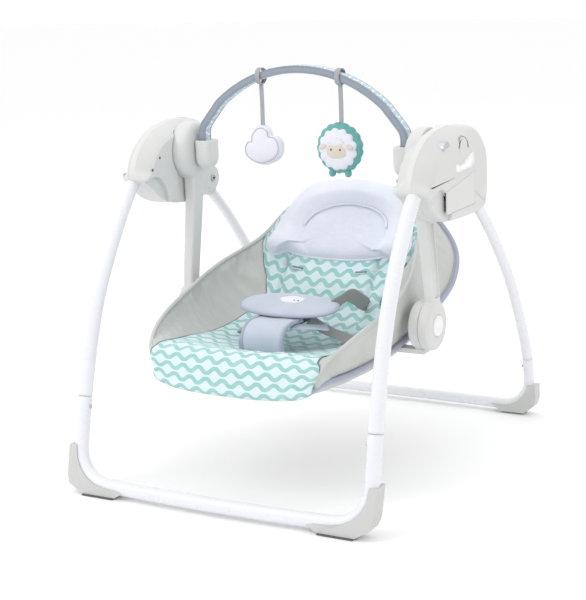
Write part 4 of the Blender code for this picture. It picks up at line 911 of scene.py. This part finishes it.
def across(s, edge, middle):
    """Point of a row's section, from -1 at the left edge to 1 at the right edge."""
    angle = np.abs(s) * math.pi / 2
    rise = 1 - np.maximum(np.cos(angle), 0) ** POWER
    x = edge[..., 0] * np.sin(angle) ** POWER
    return np.stack([np.copysign(x, s), middle[..., 0] + (edge[..., 1] - middle[..., 0]) * rise,
                     middle[..., 1] + (edge[..., 2] - middle[..., 1]) * rise], -1)


def inner_at(s, v):
    """Point on the seat's inner surface: s goes across, v along the rows."""
    row = rows_at(v)
    return across(s, row[..., 0:3], row[..., 6:8])


def outer_at(s, v):
    """Point on the seat's underside."""
    row = rows_at(v)
    return across(s, row[..., 3:6], row[..., 8:10])


def normal_at(s, v):
    """Unit direction out of the seat's inner surface."""
    ds = inner_at(np.minimum(s + 0.02, 1), v) - inner_at(np.maximum(s - 0.02, -1), v)
    dv = inner_at(s, np.minimum(v + 0.05, 7)) - inner_at(s, np.maximum(v - 0.05, 0))
    normal = unit(np.cross(ds, dv))
    return normal * np.where(normal[..., 2] - normal[..., 1] >= 0, 1.0, -1.0)[..., None]


def s_of(x, v):
    """Section coordinate of the surface point at a given x."""
    rim_x = rows_at(v)[..., 0]
    share = np.clip(np.abs(x) / rim_x, 0, 1) ** (1 / POWER)
    return np.copysign(np.arcsin(share) * 2 / math.pi, x)


MIDDLE_V = np.linspace(0, LAST, 141)
MIDDLE_RUN = run_of(inner_at(np.zeros(141), MIDDLE_V))


def rough(points, scale, seed=0.0):
    """Smooth noise, -1 to 1, at each point."""
    flat = np.asarray(points, float).reshape(-1, 3) * scale + seed
    values = np.array([noise.noise(Vector(p)) for p in flat])
    return values.reshape(np.asarray(points).shape[:-1])


def folds(s, v, along, over, seed):
    """Creases that run from the rim down to the pad."""
    field = rough(np.stack([v * along, s * over, np.zeros_like(v)], -1), 1.0, seed)
    fine = rough(np.stack([v * along * 2.3, s * over * 1.5, np.ones_like(v)], -1), 1.0, seed + 7)
    return (1 - 2.2 * np.abs(field)) * 0.65 + fine * 0.5


def side_cloth():
    """Plain cloth of the seat: the inside, over both rims and round the underside."""
    v = np.linspace(0, LAST, 190)
    rows = rows_at(v)
    pad = np.interp(v, *zip(*PAD_EDGE))
    s = np.linspace(-1, 1, 121)
    vv, ss = np.meshgrid(v, s, indexing="ij")
    window = smooth(np.abs(ss), 0, 1) * smooth(np.abs(ss) - pad[:, None], 0.0, 0.12)
    window = window * (1 - smooth(np.abs(ss), 0.93, 1.0)) * smooth(vv, 0.6, 1.6)
    creases = folds(ss, vv, 3.6, 1.5, 3.0) * 0.0085 * window
    parts = [inner_at(ss, vv) + normal_at(ss, vv) * creases[..., None]]
    steps = np.linspace(0, 1, 18)[1:-1]
    rim, hoop = rows[:, 0:3], rows[:, 3:6]
    for sign in (1, -1):
        order = steps if sign > 0 else steps[::-1]
        wall = rim[:, None] + (hoop - rim)[:, None] * order[None, :, None]
        belly = np.sin(math.pi * order) ** 0.8 * 0.0055
        over, down = np.broadcast_arrays(order[None, :], v[:, None])
        field = folds(over, down, 2.6, 1.2, 11.0 + sign)
        away = belly[None] + field * 0.0034 * np.sin(math.pi * order)[None]
        parts.append((wall + unit((1.0, 0.0, -0.35)) * away[..., None]) * (sign, 1, 1))
        if sign > 0:
            parts.append(outer_at(ss[:, ::-1] * 0.999, vv))
    points = np.concatenate(parts, 1)
    uvs = np.broadcast_arrays(np.arange(points.shape[1])[None, :] * 0.003, np.arange(len(v))[:, None] * 0.004)
    obj = grid_piece("seat_side_cloth", points, M["side"], uvs=np.stack(uvs, -1))
    sharp(facing_out(obj), 50)
    on(obj, "seat", "seat_fabric", "seat_bucket")
    for sign, word in SIDES:
        line = even(rim[v < 6.97] * (sign, 1, 1) + (0, 0, 0.0006), 150)
        hem = ribbon(f"seat_rim_hem_{word}", line, (1, 0, 0.2), pill(0.0034, 0.0034, 0.0033, 4), M["side"])
        on(hem, "seat", "seat_fabric")


def pad_lift(s, v, t):
    """Height of the quilted pad above the seat's own surface."""
    edge = (1 - np.abs(t) ** 7) ** 0.5
    body = (0.0035 + 0.0050 * smooth(v, 1.9, 2.6) - 0.0060 * smooth(v, 6.0, 6.8)) * edge
    x = np.abs(inner_at(s, v)[..., 0])
    crease = np.exp(-((x - 0.090) / 0.0042) ** 2) * smooth(v, 3.9, 4.4) * (1 - smooth(v, 5.5, 5.9))
    place = np.stack([inner_at(s, v)[..., 0], v * 0.06, np.zeros_like(v)], -1)
    swell = rough(place, 19.0, 5.0) * 0.0022
    strands = rough(place * np.array([1.0, 0.30, 1.0]), 95.0, 2.0)
    gather = strands * 0.0019 * np.exp(-((v - 1.25) / 0.42) ** 2)
    lip = strands * 0.0008 * np.exp(-((v - 0.1) / 0.35) ** 2)
    return np.maximum(body + (swell + gather + lip) * edge - 0.0062 * crease * edge, 0.0006 * edge)


def seat_pad():
    """Quilted printed pad that rolls over the front lip, with painted shadows along its side seams."""
    v = np.concatenate([np.linspace(0, 2.0, 84), np.linspace(2.0, 7.0, 132)[1:]])
    t = np.linspace(-1, 1, 151)
    t = np.sign(t) * (1 - (1 - np.abs(t)) ** 1.25)
    edge = np.interp(v, *zip(*PAD_EDGE))
    vv, tt = np.meshgrid(v, t, indexing="ij")
    ss = tt * edge[:, None]
    base, normal = inner_at(ss, vv), normal_at(ss, vv)
    top = base + normal * pad_lift(ss, vv, tt)[..., None]
    lip_rows = []
    steps = np.linspace(1, 0, 12)[:-1]
    low = outer_at(t * 0.999, np.zeros_like(t)) + np.array([0, -0.0055, -0.0038])
    outward = unit(np.stack([t * 0.5, -np.ones_like(t), np.zeros_like(t)], -1))
    for k in steps:
        row = top[0] + (low - top[0]) * k
        lip_rows.append(row + outward * (0.0050 * math.sin(math.pi * min(k, 1.0)) ** 0.7))
    top = np.concatenate([np.array(lip_rows), top], 0)
    rows = top.shape[0]
    under = base - normal * 0.0012
    under = np.concatenate([np.repeat(under[:1], len(steps), 0), under], 0)
    along = run_of(top[:, top.shape[1] // 2])
    flat = np.linalg.norm(np.diff(top, axis=1), axis=2)
    over = np.concatenate([np.zeros((rows, 1)), np.cumsum(flat, 1)], 1)
    over = over - over[:, [over.shape[1] // 2]]
    along = along + 0.018 * np.minimum(along / 0.09, 1)
    shift = np.interp(np.abs(over), [0.0895, 0.0905], [0.0, 0.007])
    shift = shift * smooth(along[:, None], 0.30, 0.34)
    obj = slab_piece("seat_pad", top, under, M["wave"], np.stack([over, along[:, None] + shift], -1))
    on(obj, "seat", "seat_fabric")
    for side, word in SIDES:
        line_v = np.linspace(0.36, 5.03, 160)
        line_s = side * np.interp(line_v, *zip(*PAD_EDGE))
        line = inner_at(line_s, line_v) + normal_at(line_s, line_v) * 0.0012
        # painted shadow: a thin dark cord along each side seam stands for the shade in its crease
        seam = ribbon(f"seat_pad_seam_painted_shadow_{word}", even(line, 200), (0, 0, 1), ring_of(0.0011, 8), M["seam"])
        on(seam, "seat", "seat_fabric")


def whole_loop(half):
    """Closed, evened line from its right half."""
    loop = even(np.vstack([half, half[-2:0:-1] * MIRROR]), 300, True)
    for _ in range(4):
        loop = (np.roll(loop, 1, 0) + 2 * loop + np.roll(loop, -1, 0)) / 4
    return loop


def hoop():
    """Sleeve of the seat frame and the binding that joins it to the cloth."""
    half_s = np.array([0.0, 0.2, 0.4, 0.6, 0.8])
    front = outer_at(half_s, np.zeros(5))
    sides = outer_at(np.ones(57), np.linspace(0, LAST, 57))
    top = outer_at(half_s[::-1], np.full(5, float(LAST)))
    half = even(np.vstack([front, sides, top]), 120)
    tangent = unit(np.gradient(half, axis=0))
    away = half - np.array([0, 0.02, 0.32])
    away[:, 2] -= 0.02
    away = unit(away - tangent * (away * tangent).sum(1, keepdims=True))
    path = half + away * (0.0010 + 0.0052 * smooth(half[:, 1], -0.262, -0.215))[:, None]
    path[0, 0] = path[-1, 0] = 0
    loop, flat = (whole_loop(line) for line in (path, half))
    tube = ribbon("seat_frame_sleeve", loop, unit(loop - loop.mean(0)), pill(0.0046, 0.0046, 0.0045, 5),
                  M["trim"], True)
    on(tube, "seat", "bare_steel", "seat_frame")
    band = np.stack([flat, flat * 0.35 + loop * 0.65, loop], 1)
    cover = grid_piece("seat_frame_binding", band, M["side"], True, False, caps=False)
    modifier(cover, 'SOLIDIFY', thickness=0.0016, offset=0.0)
    applied(cover)
    on(cover, "seat", "seat_fabric")


# ------------------------------------------------------------------ headrest
def headrest_point(x, w, lift):
    """Point above the seat back, from x and the distance w up from the front lip."""
    v = np.interp(w, MIDDLE_RUN, MIDDLE_V)
    beyond = np.maximum(w - MIDDLE_RUN[-1], 0)
    s = s_of(x, v)
    point = inner_at(s, v) + normal_at(s, v) * lift[..., None]
    return point + np.stack([np.zeros_like(w), beyond * 0.5, beyond * 0.6], -1)


def headrest():
    """Crowned cushion with a sunk oval and seams."""
    run = {v: float(np.interp(v, MIDDLE_V, MIDDLE_RUN)) for v in (5.0, 5.1, 5.2, 5.6)}
    top = float(MIDDLE_RUN[-1])
    low = run[5.0] + 0.032
    outline = [(0.0, top + 0.008), (-0.045, top + 0.005), (-0.084, top - 0.007), (-0.110, top - 0.036),
               (-0.125, top - 0.080), (-0.139, run[5.6] - 0.012), (-0.147, run[5.2]),
               (-0.139, low - 0.019), (-0.121, low - 0.018), (-0.104, low - 0.002), (-0.070, low - 0.003),
               (-0.036, low - 0.004), (0.0, low - 0.004)]
    outline += [(-x * 1.05, w) for x, w in outline[-2:0:-1]]
    outline = [(x * 0.975, w - 0.004 * smooth(w, low, top)) for x, w in outline]
    curve = even(spline(outline, 10, True), 180, True)
    centre = np.array([0.0, run[5.6] + 0.018])
    radii = np.concatenate([np.linspace(0.02, 0.9, 44), np.linspace(0.9, 1.0, 18)[1:]])
    flat = centre + (curve[None] - centre) * radii[:, None, None]
    x, w = flat[..., 0], flat[..., 1]
    oval_c = np.array([0.014, low + 0.042])
    oval_x, oval_w = 0.082, 0.060
    oval = np.sqrt((np.abs(x - oval_c[0]) / oval_x) ** 2.2 + (np.abs(w - oval_c[1]) / oval_w) ** 2.2)
    rim = np.sqrt(np.clip(1 - radii[:, None] ** 5.5, 0, 1))
    ring = 0.30 + 0.70 * smooth(oval, 0.90, 1.40)
    hem = np.exp(-((radii[:, None] - 0.94) / 0.05) ** 2) * smooth(-w, -run[5.1] - 0.012, -run[5.1] + 0.012)
    wrinkle = rough(np.stack([x, w, np.zeros_like(x)], -1) * np.array([1, 0.45, 1]), 34.0, 4.0) * 0.0026
    fine = rough(np.stack([x, w, np.zeros_like(x)], -1), 110.0, 9.0) * 0.0006
    groove = np.exp(-((oval - 1.0) / 0.05) ** 2) * 0.0022
    lift = rim * (0.013 + 0.030 * ring + wrinkle + fine - groove) + hem * 0.002
    upper = headrest_point(x, w, lift + 0.004)
    flat = centre + (curve[None] - centre) * np.linspace(1.0, 0.2, 14)[1:, None, None]
    lower = headrest_point(flat[..., 0], flat[..., 1], np.full(flat.shape[:2], 0.003))
    points = np.concatenate([upper, lower], 0)
    uv_flat = np.concatenate([np.stack([x, w], -1), flat], 0)
    obj = facing_out(grid_piece("headrest_skin", points, M["velour"], uvs=uv_flat))
    # painted shade: faces inside the sunk oval get the darker velour
    obj.data.materials.append(M["velour_sunk_painted_shade"])
    count = len(curve)
    for face in obj.data.polygons:
        ring_index = face.index // count
        if ring_index < len(radii) - 1 and oval[ring_index, face.index % count] < 0.99:
            face.material_index = 1
    on(obj, "seat", "soft_fabric", "headrest")
    angle = np.linspace(0.10, math.pi - 0.10, 90)
    raised = headrest_point(oval_c[0] + oval_x * np.cos(angle), oval_c[1] + oval_w * np.sin(angle) ** 0.92,
                            np.full(90, 0.0295))
    edge = headrest_point(curve[:, 0] * 0.995, curve[:, 1], np.full(count, 0.009))
    for word, line, radius, closed in (("oval", raised, 0.0017, False), ("edge", edge, 0.0020, True)):
        seam = ribbon(f"headrest_{word}_seam", line, (0, -0.6, 0.8), ring_of(radius, 10), M["velour"], closed)
        on(seam, "seat", "soft_fabric")


# ------------------------------------------------------------------ harness
BELLY_X, BELLY_Y = 0.0925, 0.0415       # half width and depth of the belly pad
BELLY_CROWN = 0.0098


def on_belly(p):
    """Places points of the belly pad's own flat frame on its tilted plane."""
    y, z, tilt = -0.076, 0.2845, math.radians(12.0)
    return np.stack([p[..., 0], y + p[..., 1] * math.cos(tilt) - p[..., 2] * math.sin(tilt),
                     z + p[..., 1] * math.sin(tilt) + p[..., 2] * math.cos(tilt)], -1)


def on_belly_top(xy, lift):
    """Points at a height above the belly pad's crowned top."""
    r = np.sqrt((np.abs(xy[..., 0]) / BELLY_X) ** 2 + (np.abs(xy[..., 1]) / BELLY_Y) ** 2)
    rise = np.sqrt(np.clip(1 - r ** 3.2, 0, 1)) * BELLY_CROWN + lift
    return on_belly(np.concatenate([xy, rise[..., None]], -1))


def belly_patch(name, outline, steps, mat):
    """Sewn patch on the belly pad; steps are (share of the outline, height)."""
    middle = outline.mean(0)
    rings = [on_belly_top(middle + (outline - middle) * share, lift) for share, lift in steps]
    on(facing_out(grid_piece(name, rings, mat)), "seat", "soft_fabric")


def super_oval(half_x, half_y, power, count):
    """Oval outline, squarer as the power rises."""
    angle = np.linspace(0, 2 * math.pi, count, endpoint=False)
    c, s = np.cos(angle), np.sin(angle)
    return np.stack([np.copysign(np.abs(c) ** (2 / power), c) * half_x,
                     np.copysign(np.abs(s) ** (2 / power), s) * half_y], 1)


def belly_pad():
    """Padded oval with piping and a sewn cloud."""
    curve = super_oval(BELLY_X, BELLY_Y, 2.25, 128)
    rows = []
    for sign, radii in ((1, np.linspace(0.03, 1.0, 30)), (-1, np.linspace(1.0, 0.03, 20)[1:])):
        for r in radii:
            xy = curve * r
            rise = math.sqrt(max(0.0, 1 - r ** 3.2)) * (BELLY_CROWN if sign > 0 else 0.0045)
            wave = rough(np.column_stack([xy, np.full(len(xy), sign)]), 42.0, 1.0) * 0.0014 * (1 - r ** 4)
            rows.append(np.column_stack([xy, sign * rise + wave]))
    local = np.array(rows)
    obj = facing_out(grid_piece("belly_pad_skin", on_belly(local), M["jersey"], uvs=local[..., :2]))
    on(obj, "seat", "soft_fabric", "belly_pad")
    loop = on_belly(np.column_stack([curve, np.zeros(len(curve))]))
    piping = ribbon("belly_pad_piping", loop, (0, -0.2, 1), ring_of(0.0023, 10), M["trim"], True)
    on(piping, "seat", "soft_fabric")
    angle = np.linspace(0, 2 * math.pi, 72, endpoint=False)
    r = 1 + 0.10 * np.abs(np.sin(2.5 * angle + 0.4))
    cloud = np.column_stack([0.006 + 0.022 * r * np.cos(angle), 0.004 + 0.0125 * r * np.sin(angle)])
    belly_patch("belly_pad_cloud", cloud, ((0.05, 0.0024), (0.5, 0.0022), (0.88, 0.0019), (0.98, 0.0012),
                                           (1.0, -0.0010)), M["plush"])
    for number, x in enumerate((0.013, 0.021)):
        spot = super_oval(0.0013, 0.0013, 2, 16) + (x, -0.002)
        belly_patch(f"belly_pad_dot_{number}", spot, ((0.1, 0.0032), (0.8, 0.003), (1.0, 0.0020)), M["black"])


def strap_sheet(name, path, hint, half_width, thick, mat, wave=0.0, seed=0.0, columns=15):
    """Closed flat strap along a path, with rounded long edges; wave is the height of its wrinkles."""
    path = np.asarray(path, float)
    _, first, second = path_frames(path, hint)
    t = np.linspace(-1, 1, columns)
    points = path[:, None] + first[:, None] * (t * half_width)[None, :, None]
    if wave:
        points = points + second[:, None] * (rough(points, 30.0, seed) * wave)[..., None]
    half = thick / 2 * np.sqrt(np.clip(1 - np.abs(t) ** (2 / 0.3), 0.02, 1))[None, :, None]
    raised = second[:, None] * half
    uvs = np.stack(np.broadcast_arrays((t * half_width)[None, :], run_of(path)[:, None]), -1)
    return slab_piece(name, points + raised, points - raised, mat, uvs)


def crotch_strap():
    """Wide padded strap, bound and stitched, with a folded wing on each side."""
    line = spline([(0, -0.1700, 0.2235), (0, -0.1735, 0.2380), (0, -0.1710, 0.2540), (0, -0.1600, 0.2660),
                   (0, -0.1420, 0.2705), (0, -0.1180, 0.2690), (0, -0.1000, 0.2675)], 9)
    line = even(line, 54)
    strap = strap_sheet("crotch_strap_skin", line, (1, 0, 0), 0.0375, 0.0062, M["jersey"], 0.0022, 3.0, 25)
    on(strap, "seat", "soft_fabric", "crotch_strap")
    _, first, second = path_frames(line, (1, 0, 0))
    for side, word in SIDES:
        edge = line + first * side * 0.0378
        wobble = rough(edge, 30.0, 3.0)[:, None] * second * 0.0022
        sewn = line + first * side * 0.0325 + wobble + second * 0.0029
        for kind, path, section, mat in (("binding", edge + wobble, pill(0.0026, 0.0037, 0.0022, 4), "trim"),
                                         ("stitch", sewn, ring_of(0.0005, 6), "thread")):
            piece = ribbon(f"crotch_strap_{kind}_{word}", path, (1, 0, 0), section, M[mat])
            on(piece, "seat", "soft_fabric")
    wings = (("left", [(-0.040, -0.1640, 0.2230), (-0.0430, -0.1640, 0.2380), (-0.0410, -0.1570, 0.2500),
                       (-0.0360, -0.1460, 0.2560)], (0.5, 0.86, 0), (0.0085, 0.0034), (0.0014, 8.0)),
             ("right", [(0.030, -0.1290, 0.2625), (0.0480, -0.1130, 0.2600), (0.0700, -0.0960, 0.2570),
                        (0.0790, -0.0860, 0.2555)], (0.2, 0.95, 0.1), (0.009, 0.0030), (0.0016, 5.0)))
    for word, points, hint, size, wrinkle in wings:
        flap = strap_sheet(f"crotch_strap_wing_{word}", spline(points, 8), hint, *size, M["jersey"], *wrinkle)
        on(flap, "seat", "soft_fabric")


def on_seat(side, x, v, lift):
    """Point above the seat surface, at a distance x to one side on row v."""
    s = s_of(side * x, v)
    return inner_at(s, v) + normal_at(s, v) * lift


def straps():
    """Buckle, waist straps, back straps and the pad's strap slits."""
    repaint("harness_buckle", M["black"], 0.0014)
    pad = 0.0102                            # height of the pad's top above the seat surface
    webbing = (0.0125, 0.0019)              # half width and thickness
    for side, word in SIDES:
        foot = on_seat(side, 0.112, 3.20, pad - 0.001)
        start = np.array([side * 0.0368, -0.073, 0.2630])
        line = spline([start, start * 0.6 + foot * 0.4 - (0, 0, 0.004), foot + (0, 0, 0.002),
                       on_seat(side, 0.130, 3.36, pad - 0.010)], 9)
        strap = strap_sheet(f"waist_strap_{word}_skin", line, (0.25, 0.94, 0.2), *webbing, M["webbing"],
                            0.001, side)
        on(strap, "seat", "webbing", f"waist_strap_{word}")
    lines = {
        "back_strap_left": [on_seat(-1, 0.064, 4.46, pad - 0.002), on_seat(-1, 0.064, 4.40, pad + 0.003),
                            on_seat(-1, 0.064, 4.22, pad + 0.004), (-0.062, -0.004, 0.268),
                            (-0.058, -0.034, 0.274)],
        "back_strap_right": [on_seat(1, 0.098, 4.44, pad - 0.004), on_seat(1, 0.094, 4.36, pad + 0.003),
                             (0.086, -0.010, 0.295), (0.079, -0.038, 0.290), (0.072, -0.056, 0.285)],
    }
    for name, points in lines.items():
        hint = (1, 0, 0) if name.endswith("left") else (0.35, 0.15, 0.9)
        strap = strap_sheet(name, even(spline(points, 9), 40), hint, *webbing, M["webbing"], 0.0008, 2.0)
        on(strap, "seat", "webbing")
    for number, (side, v) in enumerate(((-1, 5.03), (-1, 4.50), (1, 5.03), (1, 4.50))):
        xs = np.linspace(0.0535, 0.0745, 12)
        line = np.array([on_seat(side, x, v, pad - 0.0008) for x in xs])
        lip = np.array([on_seat(side, x, v - 0.030, pad - 0.0002) for x in xs])
        # painted shade: each strap slit is a dark cord standing for the shade inside the opening
        slit = ribbon(f"pad_slit_{number}", line, (0, -0.6, 0.8), pill(0.0010, 0.0018, 0.0008, 3), M["seam"])
        on(slit, "seat", "seat_fabric")
        edge = ribbon(f"pad_slit_edge_{number}", lip, (0, -0.6, 0.8), pill(0.0009, 0.0012, 0.0007, 3),
                      M["thread"])
        on(edge, "seat", "seat_fabric")


# ------------------------------------------------------------------ toy bar and toys
BAR_X, BAR_TOP, BAR_ARC = 0.196, 0.682, 0.2427
BEND_X, BEND_R = 0.160, 0.030
BAR_MIDDLE_Z = BAR_TOP - BAR_ARC
TOY_X = 0.0765


def bar_height(x):
    """Height of the toy bar's arc at a distance x from the middle."""
    return BAR_MIDDLE_Z + math.sqrt(BAR_ARC ** 2 - x ** 2)


def bar_line():
    """Centre line of the toy bar: up from one socket, round a bend, over the arc and down."""
    foot, corner, start = (np.array([x, AXLE[0], z]) for x, z in (
        (BAR_X, 0.521), (BAR_X, bar_height(BAR_X) - 0.004), (BEND_X, bar_height(BEND_X))))
    half = [foot, *arc_between(foot, corner, start, BEND_R, 10)]
    for angle in np.linspace(math.acos(BEND_X / BAR_ARC), math.pi / 2, 30)[:-1]:
        half.append(np.array([BAR_ARC * math.cos(angle), AXLE[0], BAR_MIDDLE_Z + BAR_ARC * math.sin(angle)]))
    half = np.array(half)
    return even(np.vstack([half, [[0, AXLE[0], BAR_TOP]], half[::-1] * MIRROR]), 220)


def toy_bar():
    """Sleeve of the toy bar with printed strips and piping."""
    line = bar_line()
    _, first, second = path_frames(line, (0, 1, 0))
    wobble = rough(line, 60.0, 1.0)[:, None]
    sleeve = ribbon("toy_bar_sleeve", line + second * wobble * 0.0004, (0, 1, 0),
                    pill(0.0110, 0.0060, 0.0042, 5), M["sleeve"])
    on(sleeve, "toy_bar", "bar_sleeve", "toy_bar")
    for side, word in ((-1, "inner"), (1, "outer")):
        face = line + second * side * 0.0058
        strip = ribbon(f"toy_bar_strip_{word}", face, (0, 1, 0), pill(0.0074, 0.0009, 0.0008, 3), M["bar"])
        on(strip, "toy_bar", "bar_sleeve")
    for sign in (-1, 1):
        for side, word in ((-1, "front"), (1, "rear")):
            edge = line + first * side * 0.0098 + second * sign * 0.0052
            roll = ribbon(f"toy_bar_piping_{word}_{'outer' if sign > 0 else 'inner'}", edge, (0, 1, 0),
                          ring_of(0.0013, 8), M["sleeve"])
            on(roll, "toy_bar", "bar_sleeve")


def puffy(name, outline, centre, depth, y, mat, power=2.6, seed=0.0):
    """Stuffed toy shape from an outline in (x, z)."""
    curve = even(spline(outline, 8, True), 144, True)
    centre = np.asarray(centre, float)
    rows = []
    for sign, radii in ((-1, np.linspace(0.03, 1.0, 26)), (1, np.linspace(1.0, 0.03, 26)[1:])):
        for r in radii:
            xz = centre + (curve - centre) * r
            rise = depth * math.sqrt(max(0.0, 1 - r ** power)) + 0.0008
            bump = rough(np.column_stack([xz, np.full(len(xz), sign + seed)]), 60.0, seed) * 0.0010
            rows.append(np.column_stack([xz[:, 0], y + sign * (rise + bump * (1 - r ** 4)), xz[:, 1]]))
    points = np.array(rows)
    return facing_out(grid_piece(name, points, mat, uvs=points[..., [0, 2]]))


def scallop(centre, half_x, half_z, lobes, depth):
    """Oval outline with rounded lobes."""
    angle = np.linspace(0, 2 * math.pi, 160, endpoint=False)
    swell = 1 + depth * np.abs(np.sin(lobes * angle / 2)) - depth
    return ring_of(1.0, 160) * (half_x, half_z) * swell[:, None] + centre


def hanger(toy, side, top_of_toy):
    """Loop round the toy bar and the flat band that a toy hangs on."""
    x, bar_z = side * TOY_X, bar_height(TOY_X)
    turn = ring_of(0.0135, 40)
    loop = np.column_stack([np.full(40, x), AXLE[0] + turn[:, 0], bar_z + turn[:, 1]])
    ring = ribbon(f"{toy}_loop", loop, (1, 0, 0), pill(0.0045, 0.0008, 0.0006, 3), M["ribbon"], True)
    on(ring, toy, "toy_fabric")
    bottom = bar_z - 0.0130
    line = [(x, AXLE[0], bottom), (x + 0.0004, AXLE[0], (bottom + top_of_toy) / 2),
            (x, AXLE[0], top_of_toy - 0.004)]
    strap = strap_sheet(f"{toy}_strap_skin", even(spline(line, 8), 24), (1, 0, 0), 0.0042, 0.0014,
                        M["ribbon"], 0.0004)
    on(strap, toy, "toy_fabric")


def cloud_toy():
    """Two stuffed cloud shapes with a stitched edge."""
    x, z, y = -TOY_X, 0.550, AXLE[0]
    outline = [(-0.036, -0.018), (-0.0375, -0.004), (-0.030, 0.007), (-0.0225, 0.008), (-0.0205, 0.021),
               (-0.0115, 0.032), (0.0010, 0.036), (0.0130, 0.030), (0.0175, 0.018), (0.0280, 0.017),
               (0.0365, 0.008), (0.0385, -0.006), (0.0340, -0.018), (0.0250, -0.026), (0.0140, -0.031),
               (0.0, -0.0345), (-0.0140, -0.0330), (-0.0270, -0.0270)]
    outline = np.array(outline) + np.array([x, z])
    back = puffy("cloud_toy_back", outline + np.array([0.0008, -0.0006]), (x, z - 0.003), 0.006, y + 0.004,
                 M["plush"], 3.0, 3.0)
    front = puffy("cloud_toy_front", (outline - np.array([x, z])) * 0.97 + np.array([x, z + 0.0004]),
                  (x, z - 0.003), 0.0105, y - 0.001, M["plush"], 2.4, 5.0)
    on(front, "cloud_toy", "toy_fabric", "cloud_toy")
    on(back, "cloud_toy", "toy_fabric")
    curve = even(spline(outline, 8, True), 144, True)
    inset = np.array([x, z - 0.003]) + (curve - np.array([x, z - 0.003])) * 0.865
    line = np.column_stack([inset[:, 0], np.full(len(inset), y - 0.0082), inset[:, 1]])
    stitch = ribbon("cloud_toy_stitch", line, (0, 1, 0), ring_of(0.0005, 6), M["trim"], True)
    on(stitch, "cloud_toy", "toy_fabric")
    hanger("cloud_toy", -1, z + 0.033)


def sheep_toy():
    """Stuffed sheep from layered shapes."""
    x, z, y = TOY_X - 0.0035, 0.5495, AXLE[0]

    def part(word, *shape):
        return on(puffy(f"sheep_toy_{word}", *shape), "sheep_toy", "toy_fabric")

    body = part("body", scallop((x, z), 0.0435, 0.0440, 17, 0.055)[::2], (x, z), 0.0125, y, M["teal"],
                3.2, 1.0)
    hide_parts("sheep_toy")
    part("fleece", scallop((x, z - 0.001), 0.0365, 0.0365, 13, 0.09)[::2], (x, z - 0.001), 0.0070, y - 0.0085,
         M["plush"], 3.0, 2.0)
    part("face", super_oval(0.0195, 0.0140, 2.4, 60) + (x, z - 0.004), (x, z - 0.002), 0.0045, y - 0.0130,
         M["cream"], 2.6, 4.0)
    part("curl", scallop((x, z + 0.0110), 0.0165, 0.0075, 9, 0.18)[::2], (x, z + 0.015), 0.0035, y - 0.0150,
         M["plush"], 2.6, 6.0)
    for number, side in enumerate((-1, 1)):
        eye = super_oval(0.0016, 0.0018, 2, 24) + (x + side * 0.0085, z - 0.001)
        part(f"eye_{number}", eye, eye.mean(0), 0.0012, y - 0.0172, M["black"])
        hoof = super_oval(0.0056, 0.0068, 2.4, 36) + (x + side * 0.0150, z - 0.0425)
        part(f"foot_{number}", hoof, hoof.mean(0), 0.0050, y - 0.002, M["teal"])
        tilt = math.radians(-24 * side)
        turn = np.array([[math.cos(tilt), math.sin(tilt)], [-math.sin(tilt), math.cos(tilt)]])
        ear = super_oval(0.0075, 0.0036, 2, 40) @ turn + (x + side * 0.0250, z + 0.0035)
        part(f"ear_{number}", ear, ear.mean(0), 0.0028, y - 0.0155, M["cream"])
    mouth = [(x + a, y - 0.0172, z + b) for a, b in ((-0.0045, -0.0070), (-0.0022, -0.0092), (0, -0.0098),
                                                    (0.0022, -0.0092), (0.0045, -0.0070))]
    on(ribbon("sheep_toy_mouth", spline(mouth, 6), (0, 1, 0), ring_of(0.0005, 6), M["trim"]), "sheep_toy",
       "toy_fabric")
    hanger("sheep_toy", 1, z + 0.042)


# ------------------------------------------------------------------ build
make_camera()
make_studio()
stand()
housing(-1, "left", "left_housing")
housing(1, "right", "motor_housing")
motor_face()
for the_side, the_word in SIDES:
    arm(the_side, the_word)
    socket(the_side, the_word)
side_cloth()
seat_pad()
hoop()
headrest()
belly_pad()
crotch_strap()
straps()
toy_bar()
cloud_toy()
sheep_toy()
